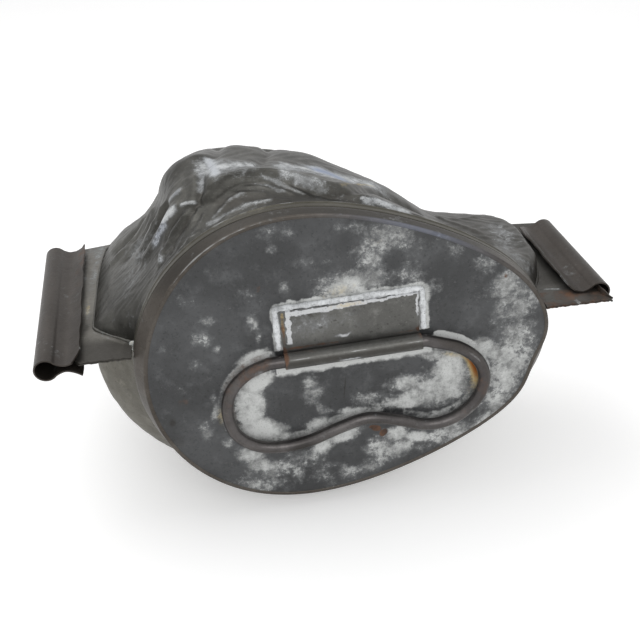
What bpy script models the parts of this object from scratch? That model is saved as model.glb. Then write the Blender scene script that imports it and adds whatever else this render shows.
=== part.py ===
"""Two-part tinned ice cream mould with a flat egg-shaped lid, a wire bail and two slide-on clips.

The mould lies on its lower half shell. X runs along the parting line from the broad end of
the lid to the small end, Y runs from the lid into the body, and Z is up. The origin is the
middle of the flat rest under the lower shell. Sizes are in metres.

Most shapes are drawn in the mould's own coordinates (u, w, t): u along the parting line from
the left end of the lid, w into the body from the plane where the lid's rim ends, and t up
from the parting plane. in_row() turns them into world coordinates.
"""

import math

import bmesh
import bpy
from mathutils import Matrix, Vector

# Where the mould's own coordinates start in the world
LID_LEFT_X = -0.088
RIM_END_Y = -0.050
PARTING_Z = 0.0965

# Sheet metal
SHELL_SHEET = 0.0008
BAND_SHEET = 0.0007
RIM_SHEET = 0.0007
PLATE_SHEET = 0.0008
FLANGE_SHEET = 0.0006
CLIP_SHEET = 0.0007
STRAP_SHEET = 0.00055
FIT_GAP = 0.0003

# The lid's egg outline: half its length, the height of its long axis, and its swell
EGG_HALF_LENGTH = 0.096
EGG_AXIS_T = -0.012
EGG_SWELL = (0.074, -0.018, 0.009)
EGG_STEPS = 72

# The lid: a flat plate soldered into a rim strip that flares towards the body
RIM_DEPTH = 0.006
RIM_FLARE = 0.0004
LEFT_FLARE = 0.0042
LEFT_FLARE_AT = math.radians(168)
LEFT_FLARE_SPREAD = math.radians(42)
RIGHT_FLARE = 0.0042
RIGHT_FLARE_AT = math.radians(-13)
RIGHT_FLARE_SPREAD = math.radians(13)

# The mouth of the body, which the rim slips over
COLLAR_INSET = 0.00125
MOUTH_W = -0.003
COLLAR_END_W = 0.006
BAND_START_W = 0.0004
BAND_END_W = 0.0058
BAND_INSET = 0.00025

# The body behind the mouth, in two half shells
BODY_DEPTH = 0.140
DEPTH_SLOPE = 0.26
CLOSING_U = 0.092
BOX_POWER = 6.5
DOME_POWER = 3.0
SLOW_SWELL_END_W = 0.055
QUICK_SWELL_END_W = 0.029
SHOULDER_POWER = 0.8
SHOULDER_FROM_SHARE = 0.80
UPPER_ACROSS_STEPS = 72
UPPER_COARSE_STEPS = 14
UPPER_COARSE_SHARE = 0.36
LOWER_ACROSS_STEPS = 36
UPPER_WALL_STEPS = 30
LOWER_WALL_STEPS = 17
WALL_CROWDING = 1.3
WALL_POINTS = 12
ROW_CLEAR = 0.001
CAP_FROM_DEPTH = 0.93
CAP_WIDTHS = (0.83, 0.74, 0.64, 0.53, 0.40)
PARTING_GAP = 0.00024

# The widest section of the body, right to left over the upper shell
UPPER_SECTION = (
    (0.2005, 0.000), (0.1995, 0.0120), (0.183, 0.0138), (0.159, 0.0190), (0.137, 0.0352),
    (0.113, 0.0515), (0.088, 0.0628), (0.064, 0.0672), (0.043, 0.0675), (0.028, 0.0600),
    (0.0172, 0.0425), (0.005, 0.0240), (-0.0100, 0.0100), (-0.0180, 0.000))

# The same section, left to right under the lower shell
LOWER_SECTION = (
    (-0.0180, 0.000), (-0.019, -0.020), (-0.015, -0.040), (-0.006, -0.058), (0.009, -0.074),
    (0.032, -0.089), (0.060, -0.099), (0.092, -0.101), (0.125, -0.096), (0.155, -0.076),
    (0.180, -0.047), (0.196, -0.020), (0.2005, 0.000))

# The wing: a lip that arches over a hollow beside the mouth
WING_PEAK_U = 0.064
WING_PEAK_W = 0.034
WING_LEFT_SPREAD = 0.050
WING_RIGHT_SPREAD = 0.032
WING_FOOT_W = 0.013
WING_HOLLOW = 0.0022
WING_LIP = 0.0016
WING_LIP_REACH = 0.022
WING_FROM_U = 0.030
WING_TO_U = 0.140

# Soft lumps on the crown: u, w, radius, height
CROWN_LUMPS = (
    (0.033, 0.066, 0.010, 0.0022),
    (0.060, 0.074, 0.013, 0.0022),
    (0.090, 0.068, 0.014, 0.0020),
    (0.128, 0.060, 0.014, 0.0020))

# The folds pressed in the figure's flank, throat, wing and crown: height, radius, and route
FOLDS = (
    (0.0020, 0.0032, ((0.027, 0.037, 0.053), (0.023, 0.038, 0.048), (0.018, 0.037, 0.039),
                      (0.011, 0.037, 0.030))),
    (0.0013, 0.0026, ((0.032, 0.027, 0.053), (0.027, 0.027, 0.048), (0.021, 0.024, 0.041),
                      (0.018, 0.019, 0.036))),
    (-0.0014, 0.0026, ((0.023, 0.045, 0.050), (0.019, 0.045, 0.043), (0.012, 0.042, 0.032),
                       (0.008, 0.042, 0.026))),
    (0.0012, 0.0026, ((0.020, 0.050, 0.047), (0.015, 0.051, 0.040), (0.010, 0.050, 0.030),
                      (0.006, 0.049, 0.025))),
    (-0.0014, 0.0030, ((0.017, 0.060, 0.041), (0.012, 0.062, 0.033), (0.005, 0.062, 0.023),
                       (-0.001, 0.062, 0.017))),
    (0.0016, 0.0030, ((0.015, 0.070, 0.037), (0.011, 0.073, 0.030), (0.002, 0.074, 0.019),
                      (-0.008, 0.072, 0.011))),
    (-0.0012, 0.0028, ((0.012, 0.080, 0.031), (0.005, 0.082, 0.022), (-0.006, 0.081, 0.012))),
    (0.0012, 0.0030, ((0.008, 0.088, 0.025), (0.001, 0.090, 0.017), (-0.009, 0.090, 0.009))),
    (-0.0020, 0.0030, ((0.050, 0.090, 0.058), (0.049, 0.066, 0.066), (0.045, 0.053, 0.067),
                       (0.040, 0.038, 0.065), (0.038, 0.029, 0.059))),
    (-0.0018, 0.0030, ((0.074, 0.085, 0.057), (0.073, 0.068, 0.063), (0.070, 0.055, 0.065),
                       (0.067, 0.043, 0.067))),
    (0.0012, 0.0026, ((0.041, 0.028, 0.059), (0.049, 0.033, 0.065), (0.058, 0.036, 0.068),
                      (0.071, 0.036, 0.067), (0.085, 0.029, 0.064), (0.100, 0.026, 0.061),
                      (0.113, 0.038, 0.053), (0.124, 0.052, 0.046))),
    (-0.0016, 0.0028, ((0.089, 0.021, 0.060), (0.099, 0.019, 0.060), (0.108, 0.022, 0.058),
                       (0.118, 0.037, 0.050), (0.131, 0.047, 0.040), (0.142, 0.050, 0.031))))

# The head, a round swelling tucked in at the far left of the figure
HEAD_U = 0.036
HEAD_RADIUS = 0.032
HEAD_HEIGHT = 0.010

# Slide-on clips: the middle of the round bead, near end and far end, and the lips' reach
LEFT_CLIP_NEAR = (-0.0372, -0.003)
LEFT_CLIP_FAR = (-0.0409, 0.108)
LEFT_CLIP_REACH = 0.0154
RIGHT_CLIP_NEAR = (0.2195, 0.0070)
RIGHT_CLIP_FAR = (0.2160, 0.078)
RIGHT_CLIP_REACH = 0.0146
CLIP_RADIUS = 0.00505
CLIP_MOUTH_ANGLE = math.radians(38)
CLIP_WAIST_T = 0.00142
CLIP_LIP_T = 0.0046
LEFT_CUT_WIDTH = 0.0038
LEFT_CUT_LENGTH = 0.0072
RIGHT_CUT_WIDTH = 0.0036
RIGHT_CUT_LENGTH = 0.0040

# Flanges
FLANGE_T = 0.00042
FLANGE_NEAR_W = -0.0011
LEFT_FLANGE_FAR_W = 0.1143
LEFT_FLANGE_OUTER_FAR_W = 0.1090
RIGHT_FLANGE_FAR_W = 0.0870
RIGHT_FLANGE_OUTER_FAR_W = 0.0835
FLANGE_LIP = 0.0030
FLANGE_BODY_GAP = 0.0004
FLANGE_MOUTH_GAP = 0.0008
CORNER_U = 0.2230
CORNER_LIP = 0.0007
SEAM_RADIUS = 0.0008
SEAM_OUT = 0.00125

# Strap plate with its rolled tube, and the wire bail in it
FACE_W = -0.006
STRAP_LEFT_U = 0.0675
STRAP_RIGHT_U = 0.1298
STRAP_TOP_T = 0.0182
TUBE_T = -0.0058
TUBE_INNER_RADIUS = 0.0032
STRAP_TILT = math.radians(1.9)
WIRE_RADIUS = 0.00285
SOLDER_RADIUS = 0.0011
BAIL_SIDES = 2
BAIL_POINTS_PER_SPAN = 4
BAIL_ROUTE = (
    (0.0600, -0.0060), (0.0505, -0.0098), (0.0425, -0.0180), (0.0396, -0.0290),
    (0.0420, -0.0418), (0.0500, -0.0500), (0.0610, -0.0532), (0.0750, -0.0520),
    (0.0900, -0.0466), (0.1040, -0.0430), (0.1190, -0.0464), (0.1330, -0.0512),
    (0.1460, -0.0490), (0.1560, -0.0405), (0.1598, -0.0290), (0.1565, -0.0180),
    (0.1480, -0.0100), (0.1390, -0.0062))


def in_row(u, w, t):
    """World position of a point given in the mould's own coordinates."""
    return Vector((u + LID_LEFT_X, w + RIM_END_Y, t + PARTING_Z))


def smooth(value, start, end):
    """0 before start, 1 after end, and a smooth rise between them."""
    share = min(max((value - start) / (end - start), 0.0), 1.0)
    return share * share * (3 - 2 * share)


def along(points, share):
    """Point on a smooth curve through evenly numbered points, share running from 0 to 1."""
    spans = len(points) - 1
    place = min(max(share, 0.0), 1.0) * spans
    first = min(int(place), spans - 1)
    part = place - first
    b = Vector(points[first])
    c = Vector(points[first + 1])
    a = Vector(points[first - 1]) if first > 0 else 2 * b - c
    d = Vector(points[first + 2]) if first + 2 <= spans else 2 * c - b
    return 0.5 * (2 * b + (c - a) * part + (2 * a - 5 * b + 4 * c - d) * part ** 2
                  + (3 * b - a - 3 * c + d) * part ** 3)


def egg(angle, inset=0.0):
    """Point (u, t) of the lid's outline, moved inwards by inset."""
    def outline(turn):
        place = math.cos(turn)
        height = EGG_SWELL[0] + EGG_SWELL[1] * place + EGG_SWELL[2] * place ** 3
        return Vector((EGG_HALF_LENGTH * (1 + place), EGG_AXIS_T + math.sin(turn) * height))
    step = 0.001
    run = outline(angle + step) - outline(angle - step)
    inward = Vector((-run.y, run.x)).normalized()
    return outline(angle) + inward * inset


def parting_angles():
    """Angles of the egg's outline where it crosses the parting plane, right and left."""
    found = []
    for low, high in ((0.0, math.pi / 2), (math.pi, math.pi / 2)):
        for _ in range(40):
            middle = (low + high) / 2
            if egg(middle).y > 0:
                high = middle
            else:
                low = middle
        found.append(low)
    return found


RIGHT_PARTING, LEFT_PARTING = parting_angles()


def rim_flare(angle):
    """How far the rim's back edge stands outside the lid's face at this angle."""
    angle = (angle + math.pi / 2) % math.tau - math.pi / 2
    left = math.exp(-((angle - LEFT_FLARE_AT) / LEFT_FLARE_SPREAD) ** 2)
    right = math.exp(-((angle - RIGHT_FLARE_AT) / RIGHT_FLARE_SPREAD) ** 2)
    return RIM_FLARE + LEFT_FLARE * left + RIGHT_FLARE * right


def lid_inset(angle, w):
    """Inset of the lid's taper at depth w, which is 0 at the rim's back edge."""
    return rim_flare(angle) * min(max(-w / RIM_DEPTH, 0.0), 1.0)


def body_point(turn, depth):
    """Point (u, w, t) of the body's outer surface.

    turn runs from 0 to 1 over the upper shell, right to left, and from 1 to 2 under the
    lower shell, left to right. depth runs from 0 at the mouth to 1 at the far end.
    """
    upper = turn <= 1
    share = turn if upper else turn - 1
    reach = LEFT_PARTING - RIGHT_PARTING
    if upper:
        angle = RIGHT_PARTING + reach * share
        section = along(UPPER_SECTION, share)
        quick = smooth(share, SHOULDER_FROM_SHARE, 1.0)
    else:
        angle = LEFT_PARTING + (math.tau - reach) * share
        section = along(LOWER_SECTION, share)
        quick = math.sin(math.pi * min(max(share, 0.5), 1.0)) ** SHOULDER_POWER
    w = MOUTH_W + depth * (BODY_DEPTH - MOUTH_W)
    mouth = egg(angle, COLLAR_INSET + lid_inset(angle, w))
    slow_swell = smooth(w, COLLAR_END_W, SLOW_SWELL_END_W)
    quick_swell = smooth(w, COLLAR_END_W, QUICK_SWELL_END_W)
    swell = slow_swell + (quick_swell - slow_swell) * quick
    flat = mouth + (section - mouth) * swell
    box = (1 - depth ** BOX_POWER) ** (1 / BOX_POWER)
    dome = (1 - depth ** DOME_POWER) ** (1 / DOME_POWER)
    u = CLOSING_U + (flat.x - CLOSING_U) * box
    t = flat.y * dome
    if w > COLLAR_END_W:
        w -= (w - COLLAR_END_W) * DEPTH_SLOPE * u / BODY_DEPTH
    away = min(math.hypot(u - HEAD_U, t) / HEAD_RADIUS, 1.0)
    w += HEAD_HEIGHT * (1 - away ** 2) ** 2 * smooth(depth, 0.6, 0.85)
    return Vector((u, w, t))


def row_depths(upper):
    """Depths of the rows of a shell's mesh: the mouth, the wall, and the closing far end."""
    wall_steps = UPPER_WALL_STEPS if upper else LOWER_WALL_STEPS
    collar_end = (COLLAR_END_W + 0.0001 - MOUTH_W) / (BODY_DEPTH - MOUTH_W)
    depths = [0.0]
    for i in range(wall_steps + 1):
        share = (i / wall_steps) ** WALL_CROWDING
        depths.append(collar_end + (CAP_FROM_DEPTH - collar_end) * share)
    for width in CAP_WIDTHS:
        depths.append((1 - width ** BOX_POWER) ** (1 / BOX_POWER))
    return depths


def across_shares(upper):
    """Shares of the way across a shell for its mesh, closer together over the figure."""
    if not upper:
        return [i / LOWER_ACROSS_STEPS for i in range(LOWER_ACROSS_STEPS + 1)]
    fine_steps = UPPER_ACROSS_STEPS - UPPER_COARSE_STEPS
    coarse = [UPPER_COARSE_SHARE * i / UPPER_COARSE_STEPS for i in range(UPPER_COARSE_STEPS)]
    fine = [UPPER_COARSE_SHARE + (1 - UPPER_COARSE_SHARE) * i / fine_steps for i in range(fine_steps + 1)]
    return coarse + fine


def wing_edge(u):
    """Depth w of the wing's arching edge at this u."""
    spread = WING_LEFT_SPREAD if u < WING_PEAK_U else WING_RIGHT_SPREAD
    arch = math.exp(-((u - WING_PEAK_U) / spread) ** 2)
    return WING_FOOT_W + (WING_PEAK_W - WING_FOOT_W) * arch


def fold_height(place):
    """Sum of the folds' heights at this point (u, w, t)."""
    total = 0.0
    for height, radius, route in FOLDS:
        gaps = []
        for a, b in zip(route, route[1:]):
            a, b = Vector(a), Vector(b)
            share = min(max((place - a).dot(b - a) / (b - a).length_squared, 0.0), 1.0)
            gaps.append((place - a.lerp(b, share)).length)
        total += height * math.exp(-(min(gaps) / radius) ** 2)
    return total


def relief(u, w, t):
    """How far the pressed figure stands out from the plain body at this point."""
    edge = wing_edge(u)
    across = smooth(u, WING_FROM_U, WING_FROM_U + 0.015) * (1 - smooth(u, WING_TO_U - 0.03, WING_TO_U))
    past_edge = smooth(w, edge - 0.004, edge + 0.003)
    behind_collar = smooth(w, COLLAR_END_W, COLLAR_END_W + 0.005)
    fading = math.exp(-((w - edge) / WING_LIP_REACH) ** 2) if w > edge else 1.0
    height = across * (WING_LIP * past_edge * fading - WING_HOLLOW * (1 - past_edge) * behind_collar)
    for lump_u, lump_w, radius, lump_height in CROWN_LUMPS:
        away = math.hypot(u - lump_u, w - lump_w)
        height += lump_height * math.exp(-(away / radius) ** 2)
    return height * smooth(abs(t), 0.004, 0.020) + fold_height(Vector((u, w, t))) * smooth(t, 0.003, 0.010)


def wall_profile(side, upper, height):
    """(w, u) of a shell's wall beside its parting line, at each row of its mesh.

    u is the outermost that the wall reaches between the parting line and this height.
    """
    shares = across_shares(upper)
    if upper == (side == "left"):
        shares.reverse()
    outermost = min if side == "left" else max
    profile = []
    for depth in row_depths(upper):
        points = [body_point((0 if upper else 1) + share, depth) for share in shares[:WALL_POINTS]]
        reached = points[0].x
        for a, b in zip(points, points[1:]):
            share = min(max((height - abs(a.z)) / max(abs(b.z) - abs(a.z), 1e-9), 0.0), 1.0)
            reached = outermost(reached, a.x + (b.x - a.x) * share)
            if share < 1:
                break
        profile.append((points[0].y, reached))
    return profile


def u_on(profile, w):
    """u of a wall profile at depth w, straight between its rows."""
    for (w_a, u_a), (w_b, u_b) in zip(profile, profile[1:]):
        if w <= w_b:
            return u_a + (u_b - u_a) * (w - w_a) / (w_b - w_a)
    return profile[-1][1]


def rows_between(profile, first, last):
    """Depths from first to last, with those of the profile's rows between them."""
    inner = [w for w, _ in profile if first + ROW_CLEAR < w < last - ROW_CLEAR]
    return [first, *inner, last]


def make_collection(name):
    collection = bpy.data.collections.new(name)
    bpy.context.scene.collection.children.link(collection)
    return collection


def make_material(name, color, roughness, metallic):
    material = bpy.data.materials.new(name)
    material.use_nodes = True
    shader = material.node_tree.nodes["Principled BSDF"]
    shader.inputs["Base Color"].default_value = (*color, 1.0)
    shader.inputs["Roughness"].default_value = roughness
    shader.inputs["Metallic"].default_value = metallic
    material.diffuse_color = (*color, 1.0)
    return material


def add_object(name, data, material, parent=None):
    """Put a mesh or curve in the parts collection, keeping its world position under parent."""
    thing = bpy.data.objects.new(name, data)
    PARTS.objects.link(thing)
    if data is not None:
        data.materials.append(material)
    if parent is not None:
        thing.parent = parent
        thing.matrix_parent_inverse = Matrix.Translation(-parent.location)
    return thing


def mesh_from(bm, name, smooth_angle=40):
    """Finish a bmesh as a mesh with its faces turned outwards and its round parts smooth."""
    bmesh.ops.recalc_face_normals(bm, faces=bm.faces)
    mesh = bpy.data.meshes.new(name)
    bm.to_mesh(mesh)
    bm.free()
    mesh.shade_smooth()
    mesh.set_sharp_from_angle(angle=math.radians(smooth_angle))
    return mesh


def sheet_from_rows(rows, closed=False):
    """Bmesh of an open sheet lofted through rows of world points of equal length."""
    bm = bmesh.new()
    grid = [[bm.verts.new(point) for point in row] for row in rows]
    count = len(rows[0])
    for row, following in zip(grid, grid[1:]):
        for i in range(count if closed else count - 1):
            j = (i + 1) % count
            bm.faces.new((row[i], row[j], following[j], following[i]))
    return bm


def thicken(thing, thickness, offset):
    solidify = thing.modifiers.new("sheet", "SOLIDIFY")
    solidify.thickness = thickness
    solidify.offset = offset
    solidify.use_even_offset = True


def subtract(thing, cutter):
    cut = thing.modifiers.new("cut", "BOOLEAN")
    cut.operation = "DIFFERENCE"
    cut.object = cutter


def cutter_wedge(name, corners, height):
    """Hidden upright prism over three or more world corners."""
    bm = bmesh.new()
    base = bm.faces.new([bm.verts.new(corner) for corner in corners])
    grown = bmesh.ops.extrude_face_region(bm, geom=[base])
    top = [item for item in grown["geom"] if isinstance(item, bmesh.types.BMVert)]
    bmesh.ops.translate(bm, vec=(0, 0, height), verts=top)
    bmesh.ops.recalc_face_normals(bm, faces=bm.faces)
    return hide_cutter(name, bm)


def hide_cutter(name, bm):
    mesh = bpy.data.meshes.new(name)
    bm.to_mesh(mesh)
    bm.free()
    cutter = bpy.data.objects.new(name, mesh)
    CUTTERS.objects.link(cutter)
    cutter.hide_render = True
    cutter.display_type = "WIRE"
    return cutter


def make_half_shell(name, upper, material):
    """One pressed half of the body: rows of points from the mouth to a pole, two skins deep."""
    side = 1 if upper else -1
    first_turn = 0 if upper else 1
    bm = bmesh.new()
    rows = []
    shares = across_shares(upper)
    for depth in row_depths(upper):
        rows.append([bm.verts.new(body_point(first_turn + share, depth)) for share in shares])
    pole = bm.verts.new(body_point(first_turn + 0.5, 1.0))
    last = rows[-1]
    for i in range(len(shares) - 1):
        for row, following in zip(rows, rows[1:]):
            bm.faces.new((row[i], following[i], following[i + 1], row[i + 1]))
        bm.faces.new((last[i], pole, last[i + 1]))
    bm.normal_update()
    raised = [vert.co + vert.normal * relief(*vert.co) for vert in bm.verts]
    for vert, place in zip(bm.verts, raised):
        place.z = max(place.z, -PARTING_Z)
        vert.co = place
    bm.normal_update()
    parted = {pole}
    for row in rows:
        parted.update((row[0], row[-1]))
    skin = list(bm.verts)
    sheet = list(bm.faces)
    lining = {}
    for vert in skin:
        inwards = -vert.normal
        if vert in parted:
            inwards.z = 0
        if vert in rows[0]:
            inwards.y = 0
        place = vert.co + inwards.normalized() * SHELL_SHEET
        lowest = PARTING_GAP / 2 if vert in parted else PARTING_GAP
        place.z = side * max(side * place.z, lowest)
        lining[vert] = bm.verts.new(place)
        vert.co.z = side * max(side * vert.co.z, lowest)
    for face in sheet:
        bm.faces.new([lining[vert] for vert in reversed(face.verts)])
    for edge in [edge for face in sheet for edge in face.edges if edge.is_boundary]:
        a, b = edge.verts
        bm.faces.new((a, b, lining[b], lining[a]))
    bmesh.ops.translate(bm, vec=in_row(0, 0, 0), verts=bm.verts)
    return add_object(name, mesh_from(bm, name, 50), material)


def make_mouth_band(name, upper, material):
    """A strip soldered round half of the mouth, which the lid's rim comes to rest against."""
    start, end = RIGHT_PARTING, LEFT_PARTING
    if not upper:
        start, end = LEFT_PARTING, RIGHT_PARTING + math.tau
    margin = 0.006
    rows = []
    for w in (BAND_START_W, BAND_END_W):
        row = []
        for i in range(EGG_STEPS // 2 + 1):
            angle = start + margin + (end - start - 2 * margin) * i / (EGG_STEPS // 2)
            point = egg(angle, BAND_INSET + BAND_SHEET / 2)
            row.append(in_row(point.x, w, point.y))
        rows.append(row)
    band = add_object(name, mesh_from(sheet_from_rows(rows), name), material)
    thicken(band, BAND_SHEET, 0.0)
    return band


def make_lid_rim(material, parent):
    """The lid's turned rim, a strip that flares from the face to its back edge."""
    rows = []
    for share in (0.0, 0.5, 1.0):
        w = FACE_W * (1 - share)
        row = []
        for i in range(EGG_STEPS):
            angle = math.tau * i / EGG_STEPS
            point = egg(angle, lid_inset(angle, w) + RIM_SHEET / 2)
            row.append(in_row(point.x, w, point.y))
        rows.append(row)
    rim = add_object("lid_rim", mesh_from(sheet_from_rows(rows, closed=True), "lid_rim"), material, parent)
    thicken(rim, RIM_SHEET, 0.0)
    return rim


def make_lid_plate(material, parent):
    """The lid's flat face, an egg-shaped plate inside the rim."""
    bm = bmesh.new()
    edge = []
    for i in range(EGG_STEPS):
        angle = math.tau * i / EGG_STEPS
        inset = rim_flare(angle) + RIM_SHEET + 2.4 * FIT_GAP
        point = egg(angle, inset)
        edge.append(bm.verts.new(in_row(point.x, FACE_W, point.y)))
    face = bm.faces.new(edge)
    grown = bmesh.ops.extrude_face_region(bm, geom=[face])
    back = [item for item in grown["geom"] if isinstance(item, bmesh.types.BMVert)]
    bmesh.ops.translate(bm, vec=(0, PLATE_SHEET, 0), verts=back)
    return add_object("lid_plate", mesh_from(bm, "lid_plate"), material, parent)


def strap_frame():
    """Matrix from strap coordinates (along the tube, w, up) to the world."""
    left = in_row(STRAP_LEFT_U, TUBE_W, TUBE_T)
    return Matrix.Translation(left) @ Matrix.Rotation(-STRAP_TILT, 4, "Y")


TUBE_OUTER_RADIUS = TUBE_INNER_RADIUS + STRAP_SHEET
TUBE_W = FACE_W - FIT_GAP - TUBE_OUTER_RADIUS
STRAP_LENGTH = STRAP_RIGHT_U - STRAP_LEFT_U


def make_handle_strap(material, parent):
    """A plate soldered to the lid, its lower edge rolled round the wire."""
    middle_radius = TUBE_INNER_RADIUS + STRAP_SHEET / 2
    top = STRAP_TOP_T - TUBE_T
    section = [(middle_radius, top), (middle_radius, top * 0.5)]
    roll_steps = 20
    roll = math.radians(318)
    for i in range(roll_steps + 1):
        angle = -roll * i / roll_steps
        section.append((middle_radius * math.cos(angle), middle_radius * math.sin(angle)))
    place = strap_frame()
    rows = [[place @ Vector((x, y, z)) for y, z in section] for x in (0.0, STRAP_LENGTH)]
    bm = sheet_from_rows(rows)
    strap = add_object("handle_strap", mesh_from(bm, "handle_strap"), material, parent)
    thicken(strap, STRAP_SHEET, 0.0)
    return strap


def make_tube_curve(name, points, radius, sides, material, parent, closed=False):
    """A round wire along world points."""
    curve = bpy.data.curves.new(name, "CURVE")
    curve.dimensions = "3D"
    curve.bevel_depth = radius
    curve.bevel_resolution = sides
    curve.use_fill_caps = not closed
    spline = curve.splines.new("POLY")
    spline.points.add(len(points) - 1)
    for point, place in zip(spline.points, points):
        point.co = (*place, 1.0)
    spline.use_cyclic_u = closed
    return add_object(name, curve, material, parent)


def make_strap_solder(material, parent):
    """The bead of solder round three sides of the strap plate."""
    out = SOLDER_RADIUS + FIT_GAP
    bead_y = FACE_W - FIT_GAP - SOLDER_RADIUS - TUBE_W
    low = TUBE_INNER_RADIUS + 0.0012
    top = STRAP_TOP_T - TUBE_T + out
    corner = 0.0008
    place = strap_frame()
    corners = ((-out, low), (-out, top - corner), (corner - out, top),
               (STRAP_LENGTH + out - corner, top), (STRAP_LENGTH + out, top - corner),
               (STRAP_LENGTH + out, low))
    points = [place @ Vector((x, bead_y, z)) for x, z in corners]
    return make_tube_curve("strap_solder", points, SOLDER_RADIUS, 1, material, parent)


def make_bail(material, parent):
    """The thick wire handle: a bean-shaped loop whose straight side lies in the tube."""
    place = strap_frame()
    tube = 0.002
    middle = STRAP_LENGTH / 2
    butt_gap = 0.0006
    points = [place @ Vector((middle - butt_gap, 0, 0)), place @ Vector((-tube, 0, 0))]
    spans = len(BAIL_ROUTE) - 1
    steps = spans * BAIL_POINTS_PER_SPAN
    for i in range(steps + 1):
        u, t = along(BAIL_ROUTE, i / steps)
        points.append(in_row(u, TUBE_W, t))
    points.append(place @ Vector((STRAP_LENGTH + tube, 0, 0)))
    points.append(place @ Vector((middle + butt_gap, 0, 0)))
    return make_tube_curve("bail_handle", points, WIRE_RADIUS, BAIL_SIDES, material, parent)


def clip_section(reach):
    """Half of the clip's omega section, from the back of the bead to the lip, as (out, t)."""
    points = []
    bead_steps = 11
    for i in range(bead_steps + 1):
        angle = math.pi - (math.pi - CLIP_MOUTH_ANGLE) * i / bead_steps
        points.append((CLIP_RADIUS * math.cos(angle), CLIP_RADIUS * math.sin(angle)))
    waist = reach * 0.56
    start = points[-1]
    for share in (0.45, 0.8):
        ease = math.sin(share * math.pi / 2)
        points.append((start[0] + (waist - start[0]) * share, start[1] + (CLIP_WAIST_T - start[1]) * ease))
    points.append((waist, CLIP_WAIST_T))
    lip_steps = 4
    for i in range(1, lip_steps + 1):
        share = i / lip_steps
        rise = (CLIP_LIP_T - CLIP_WAIST_T) * share ** 1.7
        points.append((waist + (reach - waist) * share, CLIP_WAIST_T + rise))
    return points


def make_clip(name, near, far, reach, toward_body, cut_width, cut_length, material):
    """A slide-on clip: a sheet bent to an omega, round bead outside, lips flared to the body."""
    half = clip_section(reach)
    whole = [(x, -t) for x, t in reversed(half[1:])] + half
    rows = []
    for u, w in (near, far):
        rows.append([in_row(u + toward_body * x, w, t) for x, t in whole])
    holder = bpy.data.objects.new(name + "_axis", None)
    PARTS.objects.link(holder)
    holder.location = in_row(near[0], near[1], 0)
    clip = add_object(name, mesh_from(sheet_from_rows(rows), name), material, holder)
    thicken(clip, CLIP_SHEET, 0.0)
    lip = near[0] + toward_body * reach
    past = toward_body * 0.004
    slope = cut_width / cut_length
    over = 0.004
    corners = (
        in_row(lip - toward_body * (cut_width + slope * over), near[1] - over, 0.0006),
        in_row(lip + past, near[1] - over, 0.0006),
        in_row(lip + past, near[1] + cut_length + past * toward_body / slope, 0.0006))
    subtract(clip, cutter_wedge(name + "_corner_cutter", corners, 0.02))
    return clip


def flange_rows(side, upper):
    """Rows of a flange from its near edge to its far edge, each from the body to the lip's top."""
    left = side == "left"
    sign = -1 if left else 1
    near, far = (LEFT_CLIP_NEAR, LEFT_CLIP_FAR) if left else (RIGHT_CLIP_NEAR, RIGHT_CLIP_FAR)
    lean = (far[0] - near[0]) / (far[1] - near[1])
    inner_far = LEFT_FLANGE_FAR_W if left else RIGHT_FLANGE_FAR_W
    outer_far = LEFT_FLANGE_OUTER_FAR_W if left else RIGHT_FLANGE_OUTER_FAR_W
    mouth = egg(LEFT_PARTING if left else RIGHT_PARTING).x + sign * FLANGE_MOUTH_GAP
    flip = 1 if upper else -1
    profile = wall_profile(side, upper, FLANGE_T + FLANGE_SHEET)
    rows = []
    for inner_w in rows_between(profile, FLANGE_NEAR_W, inner_far):
        share = (inner_w - FLANGE_NEAR_W) / (inner_far - FLANGE_NEAR_W)
        outer_w = FLANGE_NEAR_W + (outer_far - FLANGE_NEAR_W) * share
        inner_u = u_on(profile, inner_w) + sign * FLANGE_BODY_GAP
        inner_u = min(inner_u, mouth) if left else max(inner_u, mouth)
        outer_u = near[0] + lean * (outer_w - near[1])
        lip = FLANGE_LIP
        if not left and not rows:
            outer_u = CORNER_U
            lip = CORNER_LIP
        rows.append([
            in_row(inner_u, inner_w, flip * FLANGE_T),
            in_row((inner_u + outer_u) / 2, (inner_w + outer_w) / 2, flip * FLANGE_T),
            in_row(outer_u, outer_w, flip * FLANGE_T),
            in_row(outer_u, outer_w, flip * (FLANGE_T + lip))])
    return rows


def make_flange(name, side, upper, material):
    """A flat strip soldered to one shell's edge, its outer edge turned up inside the clip."""
    bm = sheet_from_rows(flange_rows(side, upper))
    flange = add_object(name, mesh_from(bm, name, 30), material)
    thicken(flange, FLANGE_SHEET, 0.0)
    return flange


def make_seam(name, side, upper, material):
    """The bead of solder in the crease between a shell and its flange."""
    sign = -1 if side == "left" else 1
    flip = 1 if upper else -1
    height = FLANGE_T + FLANGE_SHEET / 2 + FIT_GAP + SEAM_RADIUS
    far = (LEFT_FLANGE_FAR_W if side == "left" else RIGHT_FLANGE_FAR_W) - 0.003
    start = BAND_END_W + 0.002
    profile = wall_profile(side, upper, height + SEAM_RADIUS)
    points = []
    for w in rows_between(profile, start, far):
        points.append(in_row(u_on(profile, w) + sign * SEAM_OUT, w, flip * height))
    return make_tube_curve(name, points, SEAM_RADIUS, 1, material, None)


def make_pivot(name, place):
    """An empty that marks a joint's axis and carries what turns or slides on it."""
    pivot = bpy.data.objects.new(name, None)
    PARTS.objects.link(pivot)
    pivot.location = place
    return pivot


for thing in list(bpy.data.objects):
    bpy.data.objects.remove(thing, do_unlink=True)
PARTS = make_collection("ice_cream_mould")
CUTTERS = make_collection("cutters")

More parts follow.
